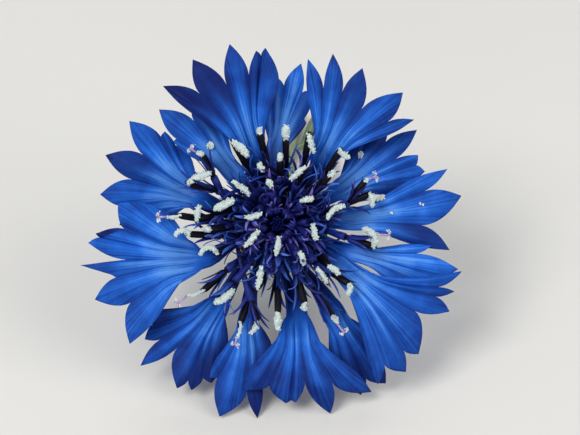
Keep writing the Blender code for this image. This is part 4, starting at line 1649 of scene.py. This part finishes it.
    def style(self, draft: Draft, floret: DiscFloret, start: Array, draw: Generator) -> None:
        """Adds a style that leans outwards, with two short arms that curl back and a few grains.

        Args:
            draft: The floret's mesh.
            floret: The disc floret.
            start: Where the style comes out of the pollen.
            draw: Random draws.
        """
        t = evenly(10)
        arch = np.sin(math.pi * t)[:, None]
        outward = polar(1.0, floret.azimuth + draw.uniform(-15.0, 15.0), 0.1)
        line = start + outward * floret.style * t[:, None] + 0.25 * Z_AXIS * arch
        draft.closed(tube(line, self.style_radius, 8, Z_AXIS), 3)
        for sign in (-1.0, 1.0):
            sideways = np.cross(outward, Z_AXIS) * sign
            arm = line[-1] + sideways * 0.42 * np.sin(t * 2.0)[:, None] + outward * 0.22 * arch
            draft.closed(tube(arm, 0.11 - 0.04 * t, 8, Z_AXIS), 3)
            centres = arm[-1] + draw.normal(0.0, 0.12, (14, 3))
            draft.grains(centres, BALL * draw.uniform(0.06, 0.12, (14, 1, 1)), 2, 0.0)

    def build(self, head: HeadFrame, finishes: Finishes) -> None:
        """Makes every disc floret; the last ring's have no CAD node.

        Args:
            head: The head's frame.
            finishes: All materials.
        """
        number = 0
        for ring, florets in enumerate(DISC_RINGS):
            for index, floret in enumerate(florets):
                number += 1
                draw = np.random.default_rng(self.seed * 1000 + number)
                lower, upper = self.path(ring, index, floret)
                draft = Draft(("tint", "blush"))
                whole = np.vstack([lower, upper[1:]])
                along = distances(whole)
                shown = draw.uniform(*self.shown[ring])
                mouth = along[-1] - shown
                self.corolla(draft, resample(whole, along, 0.0, mouth, 26), draw, ring)
                self.anther(draft, resample(whole, along, mouth - self.hidden, along[-1], 20))
                last = self.pollen(draft, floret, upper[-1], draw)
                if floret.style > 0.0:
                    self.style(draft, floret, last, draw)
                materials = (finishes.corolla, finishes.anther, finishes.pollen, finishes.style)
                piece = draft.build(f"disc_{number:02d}", head.place, *materials)
                nodes = (f"disc_floret_{number:02d}",) if florets is not DISC_RINGS[-1] else ()
                finish_piece(piece, "disc_floret", *nodes)


@dataclass
class FallenPollen:
    """Grains that have dropped onto the ray florets.

    Attributes:
        heaps: Each heap: its place on the face, its radius and how many grains it has.
        raised: Height of the grains above the middle of the petal's wall.
        seed: Starts every random draw.
    """

    heaps: tuple[tuple[Pair, float, int], ...] = (
        ((-8.2, 9.4), 0.42, 90),
        ((10.0, 8.4), 0.32, 60),
        ((12.3, 3.35), 0.50, 130),
        ((13.8, 1.3), 0.28, 5),
        ((17.2, 2.4), 0.28, 7),
    )
    raised: float = 0.22
    seed: int = 11

    def build(self, head: HeadFrame, finishes: Finishes, ring: RayRing) -> None:
        """Makes the heaps on the highest ray floret at each place.

        Args:
            head: The head's frame.
            finishes: All materials.
            ring: Gives the ray florets' surfaces.
        """
        sheets = [ring.sheet(*numbered)[0].reshape(-1, 3) for numbered in enumerate(RAY_FLORETS)]
        points = np.concatenate(sheets)
        draw = np.random.default_rng(self.seed)
        draft = Draft(("tint", "blush"))
        for place, radius, count in self.heaps:
            close = points[np.linalg.norm(points[:, :2] - place, axis=1) < radius]
            close = close[close[:, 2] > close[:, 2].max() - radius]
            centres = close[draw.integers(0, len(close), count)] + self.raised * Z_AXIS
            centres += draw.normal(0.0, 0.06, (count, 3)) * (1.0, 1.0, 0.2)
            balls = BALL * draw.uniform(0.08, 0.16, (count, 1, 1))
            draft.grains(centres, balls, 0, draw.uniform(0.0, 0.4, count))
        piece = draft.build("fallen_pollen", head.place, finishes.pollen)
        finish_piece(piece, "disc_floret")


@dataclass
class ClosedFlorets:
    """The tuft of florets in the middle: buds, and round them some that are opening.

    Attributes:
        count: How many buds it has.
        spread: Radius of the tuft at its top.
        turn: Angle from one bud to the next.
        bud_radius: Radius of a bud at its widest.
        young: Each ring of opening ones: how many, and their mouths' radius and height.
        seed: Starts every random draw.
    """

    count: int = 21
    spread: float = 1.35
    turn: float = 137.5
    bud_radius: float = 0.25
    young: tuple[tuple[int, float, float], ...] = ((11, 2.05, 0.9), (13, 3.3, 0.7), (16, 4.9, -0.1))
    seed: int = 3

    def build(self, head: HeadFrame, finishes: Finishes, discs: DiscField) -> None:
        """Makes the tuft: buds on a spiral, each a ribbed club on a slim stalk.

        Bud k stands at the angle k·turn and at the distance spread·√(k/count); the outer ones
        stand higher and lean over the inner ones.

        Args:
            head: The head's frame.
            finishes: All materials.
            discs: Shapes the corollas of the opening florets.
        """
        draft = Draft(("tint", "blush"))
        t = evenly(18)
        ribs = np.linspace(0.0, math.tau, 11)[None, :, None]
        for k in range(self.count):
            share = math.sqrt((k + 0.5) / self.count)
            foot = polar(0.30 * share, k * self.turn, FLORET_BASE_Z)
            top = polar(self.spread * share, k * self.turn, 1.2 + 0.5 * share)
            line = foot + (top - foot) * t[:, None] * np.stack([t**3, t**3, np.ones(t.shape)], axis=-1)
            inwards = (top - foot) * (0.45, 0.45, 0.0)
            line = line - inwards * (np.clip(t - 0.8, 0.0, 1.0)[:, None] / 0.2) ** 2
            radius = 0.09 + self.bud_radius * np.exp(-(((t - 0.86) / 0.10) ** 2))
            radius = radius * np.clip(1.0 - t**10, 0.04, 1.0)
            bud = swollen(tube(line, radius, 10), line, 1.0 + 0.14 * np.cos(5.0 * ribs))
            ridge = 0.35 + 0.65 * np.cos(5.0 * ribs[..., 0])
            tint = 0.02 + 0.60 * smoothstep((t - 0.80) / 0.12)[:, None] * np.clip(ridge, 0.0, 1.0)
            draft.closed(bud, 0, tint=tint)
        draw = np.random.default_rng(self.seed)
        for look, (count, radius, height) in enumerate(self.young, start=len(DISC_RINGS)):
            for k in range(count):
                azimuth = (k + draw.uniform(-0.3, 0.3)) * 360.0 / count
                foot = polar(0.25 * radius, azimuth, FLORET_BASE_Z)
                top = polar(radius * draw.uniform(0.88, 1.1), azimuth, height)
                line = foot + (top - foot) * np.stack([t**4, t**4, t], axis=-1)
                discs.corolla(draft, line, draw, look)
        piece = draft.build("closed_tuft", head.place, finishes.corolla)
        finish_piece(piece, "closed_floret", "closed_florets")


# ---- bracts, stem and leaves ----


@dataclass
class BractCups:
    """The scaly cup under the head: four rows of overlapping bracts.

    Attributes:
        profile: The innermost row's middle line, as radius and height.
        pitch: Distance between two rows.
        rows: Each row, outermost first: number of bracts and height of their tips.
        overlap: A bract's width as a share of its place in the row.
        wall: Thickness of a bract.
        tilt: How much higher one side of a bract lies than its middle.
        keel: Height of its lengthwise ridge at the foot.
        lean: How far its tip leans out.
        teeth: Fringe teeth along each side.
    """

    profile: tuple[Pair, ...] = (
        (1.35, -16.3), (2.2, -15.9), (3.5, -14.9), (4.7, -13.2), (5.2, -11.2), (5.15, -8.6),
        (4.95, -6.2), (5.1, -4.6),
    )
    pitch: float = 0.50
    rows: tuple[tuple[int, float], ...] = ((8, -12.1), (9, -10.2), (10, -7.5), (11, -4.9))
    overlap: float = 1.22
    wall: float = 0.17
    tilt: float = 0.104
    keel: float = 0.10
    lean: float = 0.16
    teeth: int = 11

    def surface(self, outset: float) -> Array:
        """Moves the cup's line outwards and smooths it.

        Args:
            outset: How far it moves.

        Returns:
            Its points as radius and height, from the stem up.
        """
        line = np.array(self.profile)
        along = unit(np.gradient(line, axis=0))
        line = line + outset * np.stack([along[:, 1], -along[:, 0]], axis=-1)
        rough = resample(line, np.arange(len(line)), 0.0, len(line) - 1.0, 80)
        return smoothed(np.pad(rough, ((4, 4), (0, 0)), mode="edge"), 9)

    def bract(self, row: int, index: int) -> tuple[Array, dict[str, Array]]:
        """Works out one bract as a closed oval ring carried up the cup.

        Its half width, in degrees, is half its place in the row, times the overlap and
        (1 − t^5)^0.7, with a saw-tooth for the fringe beyond t = 0.35. One side lies higher
        than the other, so that neighbours overlap, and the tip leans out.

        Args:
            row: Number of the row, from the outermost.
            index: Number in the row.

        Returns:
            The points and the masks margin and fringe.
        """
        count, tip_z = self.rows[row]
        line = self.surface((len(self.rows) - 1 - row) * self.pitch)
        number = np.arange(len(line))
        last = np.interp(tip_z, line[:, 1], number)
        t = evenly(4 * self.teeth + 1)
        radius, height = (np.interp(t * last, number, values)[:, None] for values in line.T)
        turn = np.linspace(0.0, math.tau, 21)
        across = np.cos(turn)
        saw = np.abs((t * 2 * self.teeth) % 2.0 - 1.0)
        fringed = smoothstep((t - 0.35) / 0.2)
        half = 0.5 * self.overlap * (1.0 - t**5) ** 0.7 * (1.0 - 0.12 * fringed * saw) + 0.01
        middle = (index + 0.5 * row) * 360.0 / count
        angle = np.radians(middle + across * half[:, None] * 360.0 / count)
        t, saw, fringed = t[:, None], saw[:, None], fringed[:, None]
        out = radius + 0.5 * self.wall * np.sin(turn) * (1.0 - 0.6 * across**8)
        out = out + self.tilt * across * np.sin(math.pi * t)
        out = out + self.keel * (1.0 - across**2) * (1.0 - t) + self.lean * t**6
        circle = np.broadcast_arrays(out * np.cos(angle), out * np.sin(angle), height)
        points = np.stack(circle, axis=-1)
        edge = np.maximum(np.abs(across) ** 3 * fringed, smoothstep((t - 0.9) / 0.1))
        masks = {
            "margin": smoothstep((edge - 0.35) / 0.3),
            "fringe": smoothstep((edge - 0.8) / 0.15) * (0.5 + 0.5 * saw),
        }
        return points[:, ::-1], masks

    def build(self, head: HeadFrame, finishes: Finishes) -> None:
        """Makes the four rows, each in place of its CAD cup.

        Args:
            head: The head's frame.
            finishes: All materials.
        """
        for row, (count, _) in enumerate(self.rows):
            draft = Draft(("margin", "fringe"))
            for index in range(count):
                points, masks = self.bract(row, index)
                draft.closed(points, **masks)
            piece = draft.build(f"bracts_{row + 1}", head.place, finishes.bract)
            finish_piece(piece, "bract", f"phyllary_row_{row + 1}")


@dataclass
class Stem:
    """The short stem: straight behind the head, then an arc down, then along the surface.

    Attributes:
        radius: Its radius.
        top_z: Its end inside the cups, on the face axis.
        neck: Distances from that end with the radius there.
        lying: Length that lies on the surface.
        sway: How far sideways the end has drifted.
        steps: Rows along it.
        ribs: Ridges round it.
        groove: Half the depth of the grooves between them, as a share of the radius.
        hairs: Number of loose hairs.
        seed: Starts the hairs' random draws.
    """

    radius: float = 1.1
    top_z: float = -16.0
    neck: tuple[Pair, ...] = ((0.0, 0.95), (1.7, 0.95), (1.95, 1.75), (3.2, 1.3))
    lying: float = 18.0
    sway: float = 2.4
    steps: int = 150
    ribs: int = 8
    groove: float = 0.055
    hairs: int = 420
    seed: int = 31

    def corners(self, head: HeadFrame) -> Array:
        """Gives the points that the stem's line passes, in the surface's frame.

        The arc's radius is what brings a line at the face's elevation down to the surface:
        (height of the bend − stem radius) / (1 − cos e).

        Args:
            head: The head's frame.

        Returns:
            The points, from the head.
        """
        sine, cosine = head.slopes()
        top = head.turned((0.0, 0.0, self.top_z)) + head.height * Z_AXIS
        neck = top + np.array([gap for gap, _ in self.neck])[:, None] * (0.0, cosine, -sine)
        _, bend_y, bend_z = neck[-1]
        radius = (bend_z - self.radius) / (1.0 - cosine)
        turn = np.radians(np.linspace(FACE_ELEVATION, 0.0, 9))
        arc_y = bend_y + radius * (sine - np.sin(turn))
        arc_z = bend_z - radius * (np.cos(turn) - cosine)
        arc = np.stack([0.0 * turn, arc_y, arc_z], axis=-1)
        lying = arc[-1] + np.outer(np.linspace(0.25, 1.0, 4), (0.0, self.lying, 0.0))
        path = np.vstack([neck, arc[1:], lying])
        share = (path[:, 1] - bend_y).clip(0.0) / (path[-1, 1] - bend_y)
        path[:, 0] = self.sway * share**2
        return path

    def line(self, head: HeadFrame) -> tuple[Array, Array]:
        """Works out the stem's line in even steps.

        Args:
            head: The head's frame.

        Returns:
            Points in the surface's frame, and the radius at each.
        """
        corners = self.corners(head)
        along = distances(corners)
        line = resample(corners, along, 0.0, along[-1], self.steps)
        line[3:-3] = smoothed(line, 7)
        gaps, radii = np.array(self.neck).T
        places = np.linspace(0.0, along[-1], self.steps)
        return line, np.interp(places, [*gaps, gaps[-1] + 2.5], [*radii, self.radius])

    def build(self, head: HeadFrame, finishes: Finishes) -> None:
        """Makes the ribbed stem with its cut end, hollow in the middle, and its loose hairs.

        Args:
            head: The head's frame.
            finishes: All materials.
        """
        line, radius = self.line(head)
        turn = np.linspace(0.0, math.tau, 41)[None, :, None]
        grown = smoothstep((evenly(len(line)) - 0.06) / 0.06)[:, None, None]
        grooves = 1.0 - self.groove * grown * (1.0 - np.cos(self.ribs * turn))
        body = swollen(tube(line, radius, 40), line, grooves)
        draft = Draft(("margin", "fringe"))
        draft.grid(body, 0, capped=(True, False))
        end = line[-1] + (body[-1] - line[-1]) * np.array([1.0, 0.86, 0.5, 0.45])[:, None, None]
        end[2:] -= unit(line[-1] - line[-2]) * np.array([0.06, 0.30])[:, None, None]
        draft.grid(end, 1, capped=(False, True))
        self.add_hairs(draft, line, body)
        piece = draft.build("cut_stem", head.place_lying, finishes.stem, finishes.pith)
        finish_piece(piece, "stem", "stem")

    def add_hairs(self, draft: Draft, line: Array, body: Array) -> None:
        """Adds loose hairs: thin three-sided spikes that stand off the skin and lean along it.

        Args:
            draft: The stem's mesh.
            line: The stem's line.
            body: Its skin, rows × columns × 3.
        """
        draw = np.random.default_rng(self.seed)
        each = (self.hairs, 1)
        rows = draw.integers(14, len(line) - 2, self.hairs)
        root = body[rows, draw.integers(0, body.shape[1] - 1, self.hairs)]
        away = unit(root - line[rows])
        along = unit(line[rows + 1] - line[rows])
        sideways = np.cross(away, along)
        length = draw.uniform(0.35, 0.95, each)
        direction = away + along * draw.uniform(-1.2, 1.2, each)
        direction = unit(direction + sideways * draw.uniform(-0.8, 0.8, each))
        tip = root + direction * length
        tip[:, 2] = np.maximum(tip[:, 2], 0.05)
        turn = np.radians([0.0, 120.0, 240.0])[None, :, None]
        ring = root[:, None] - 0.03 * away[:, None]
        ring = ring + 0.022 * (np.cos(turn) * along[:, None] + np.sin(turn) * sideways[:, None])
        spikes = np.concatenate([ring, tip[:, None]], axis=1)
        faces = np.array([(0, 2, 1), (0, 1, 3), (1, 2, 3), (2, 0, 3)])
        draft.copies(spikes, faces, 0, fringe=0.6)


@dataclass(frozen=True)
class StemLeaf:
    """One narrow leaf of the stem.

    Attributes:
        place: Where it leaves the stem, along the surface.
        side: 1 or -1, the side of the stem.
        heading: Its direction, from the stem's line.
        length: Its length.
        width: Its greatest width.
        arch: How high it arches.
    """

    place: float
    side: int
    heading: float
    length: float
    width: float
    arch: float

    def build(self, number: int, stem: Stem, head: HeadFrame, finishes: Finishes) -> None:
        """Makes the leaf in place of its CAD node.

        Its midrib runs out from the stem at the heading, which halves towards the tip. Its height
        falls as (1 − t)² from the stem's, plus the arch's half sine wave. The blade is
        0.5 + 1.1·t wide, closed by (1 − t²)^0.9, and channelled.

        Args:
            number: The leaf's number, from 1.
            stem: The stem that it grows on.
            head: The head's frame.
            finishes: All materials.
        """
        stem_x, along, stem_z = stem.corners(head).T
        stem_x, stem_z = (np.interp(self.place, along, values) for values in (stem_x, stem_z))
        t = evenly(60)
        half = 0.5 * self.width * (0.5 + 1.1 * t) * (1.0 - t**2) ** 0.9 + 0.03
        half = np.maximum(half, 0.5 * (1.0 - t / 0.06))
        bearing = math.radians(self.heading) * (1.0 - 0.5 * t)
        run = self.length * t
        floor = 0.12
        start = stem_x + self.side * (stem.radius - 0.25) * (1.0 - smoothstep(t / 0.1))
        start = start + self.side * (stem.radius + 0.2 + half[0]) * smoothstep(t / 0.1)
        x = start + self.side * np.sin(bearing) * run
        y = self.place + np.cos(bearing) * run
        z = floor + (stem_z - floor) * (1.0 - t) ** 2 + self.arch * np.sin(math.pi * t) + 0.1 * half
        midrib = np.stack([x, y, z], axis=-1)
        around = np.linspace(0.0, math.tau, 29)[None, :]
        blade = sections(midrib, half, 0.08, X_AXIS, 28, channel=0.5)
        crossing = np.exp(-((np.cos(around) / 0.10) ** 2)) * np.sin(around)
        blade[..., 2] -= 0.10 * np.where(np.sin(around) < 0.0, -crossing, crossing * 0.5)
        blade[..., 2] = np.maximum(blade[..., 2], 0.01)
        draft = Draft(("margin", "fringe"))
        rib = 0.4 * np.exp(-((np.cos(around) / 0.12) ** 2)) * np.ones(t.shape)[:, None]
        draft.closed(blade, fringe=rib * (1.0 - 0.6 * t[:, None]))
        piece = draft.build(f"leaf_{number}", head.place_lying, finishes.leaf)
        finish_piece(piece, "leaf", f"stem_leaf_{number}")


STEM_LEAVES = (
    StemLeaf(24.0, 1, 34.0, 17.0, 2.6, 2.2),
    StemLeaf(31.5, -1, 28.0, 18.0, 2.8, 2.6),
    StemLeaf(38.0, 1, 24.0, 11.0, 2.0, 1.6),
)


# ---- studio ----


@dataclass
class Studio:
    """A plain pale floor, soft light and the camera.

    Attributes:
        distance: From the face to the camera, along the face axis.
        seen_width: Width of the view where the petals' rims are.
        aim: Where the camera's axis meets the face.
        sensor: Width of the camera's sensor.
        floor_size: Side of the floor, in metres.
        lights: Each light: its name, its place and its side in metres, and its power in watts.
        sky: Colour of the light from all round.
        sky_strength: Its strength.
    """

    distance: float = 230.0
    seen_width: float = 70.2
    aim: Pair = (1.45, 0.79)
    sensor: float = 36.0
    floor_size: float = 2.0
    lights: tuple[tuple, ...] = (
        ("key", (-0.30, -0.35, 0.55), 0.30, 2.9),
        ("fill", (0.45, -0.25, 0.40), 0.50, 1.5),
        ("back", (0.05, 0.50, 0.50), 0.40, 1.0),
    )
    sky: Colour = (0.93, 0.96, 1.0)
    sky_strength: float = 0.34

    def camera(self, head: HeadFrame) -> None:
        """Stands the camera on the face axis, looking straight at the face.

        Args:
            head: The head's frame.
        """
        data = bpy.data.cameras.new("camera")
        data.sensor_width = self.sensor
        data.lens = self.sensor * self.distance / self.seen_width
        data.clip_start, data.clip_end = 0.01, 10.0
        camera = add_object("camera", data)
        camera.location = Vector(head.place((*self.aim, self.distance)))
        camera.rotation_euler = (math.radians(90.0 - FACE_ELEVATION), 0.0, 0.0)
        bpy.context.scene.camera = camera

    def floor(self, effects: Effects) -> None:
        """Lays the floor: plain, pale and matt, very slightly uneven in tone.

        Args:
            effects: The shared effects.
        """
        half = self.floor_size / 2.0
        corners = [(-half, -half, 0), (half, -half, 0), (half, half, 0), (-half, half, 0)]
        mesh = bpy.data.meshes.new("floor")
        mesh.from_pydata(corners, [], [(0, 1, 2, 3)])
        floor = add_object("floor", mesh)
        paint = Surface("floor_pale", effects, Specular_IOR_Level=0.2)
        noise = paint.add("TexNoise", {"Scale": 30.0, "Detail": 3.0}).outputs[0]
        colour = paint.mix(noise, (0.74, 0.725, 0.69), (0.78, 0.765, 0.73))
        roughness = paint.remap(noise, (0.3, 0.7), (0.75, 0.9))
        mesh.materials.append(paint.dress(colour, roughness, noise, 0.01))

    @staticmethod
    def light(name: str, place: Place, size: float, power: float, target: Array) -> None:
        """Hangs one square area light that faces a point.

        Args:
            name: The light's name.
            place: Where it hangs, in the row's metres.
            size: Its side, in metres.
            power: Its power, in watts.
            target: The point that it faces.
        """
        data = bpy.data.lights.new(name, "AREA")
        data.shape = "SQUARE"
        data.size = size
        data.energy = power
        lamp = add_object(name, data)
        lamp.location = place
        lamp.rotation_euler = (Vector(target) - Vector(place)).to_track_quat("-Z", "Y").to_euler()

    def build(self, head: HeadFrame, effects: Effects) -> None:
        """Makes the floor, the lights, the sky and the camera.

        Args:
            head: The head's frame.
            effects: The shared effects.
        """
        self.floor(effects)
        for settings in self.lights:
            self.light(*settings, head.centre)
        world = bpy.data.worlds.new("studio")
        world.use_nodes = True
        background = world.node_tree.nodes["Background"]
        background.inputs["Color"].default_value = (*self.sky, 1.0)
        background.inputs["Strength"].default_value = self.sky_strength
        bpy.context.scene.world = world
        bpy.context.scene.view_settings.view_transform = "Standard"
        self.camera(head)


def main() -> None:
    """Builds the flower's pieces in order, then the studio."""
    logging.basicConfig(level=logging.INFO, format="%(name)s: %(message)s")
    head = HeadFrame.from_receptacle()
    finishes = Finishes()
    ring = RayRing()
    ring.build(head, finishes)
    FallenPollen().build(head, finishes, ring)
    discs = DiscField()
    discs.build(head, finishes)
    ClosedFlorets().build(head, finishes, discs)
    BractCups().build(head, finishes)
    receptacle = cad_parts["receptacle"]
    receptacle.data.materials.clear()
    receptacle.data.materials.append(finishes.pith)
    stem = Stem()
    stem.build(head, finishes)
    for number, leaf in enumerate(STEM_LEAVES, start=1):
        leaf.build(number, stem, head, finishes)
    Studio().build(head, finishes.effects)


if __name__ == "__main__":
    main()
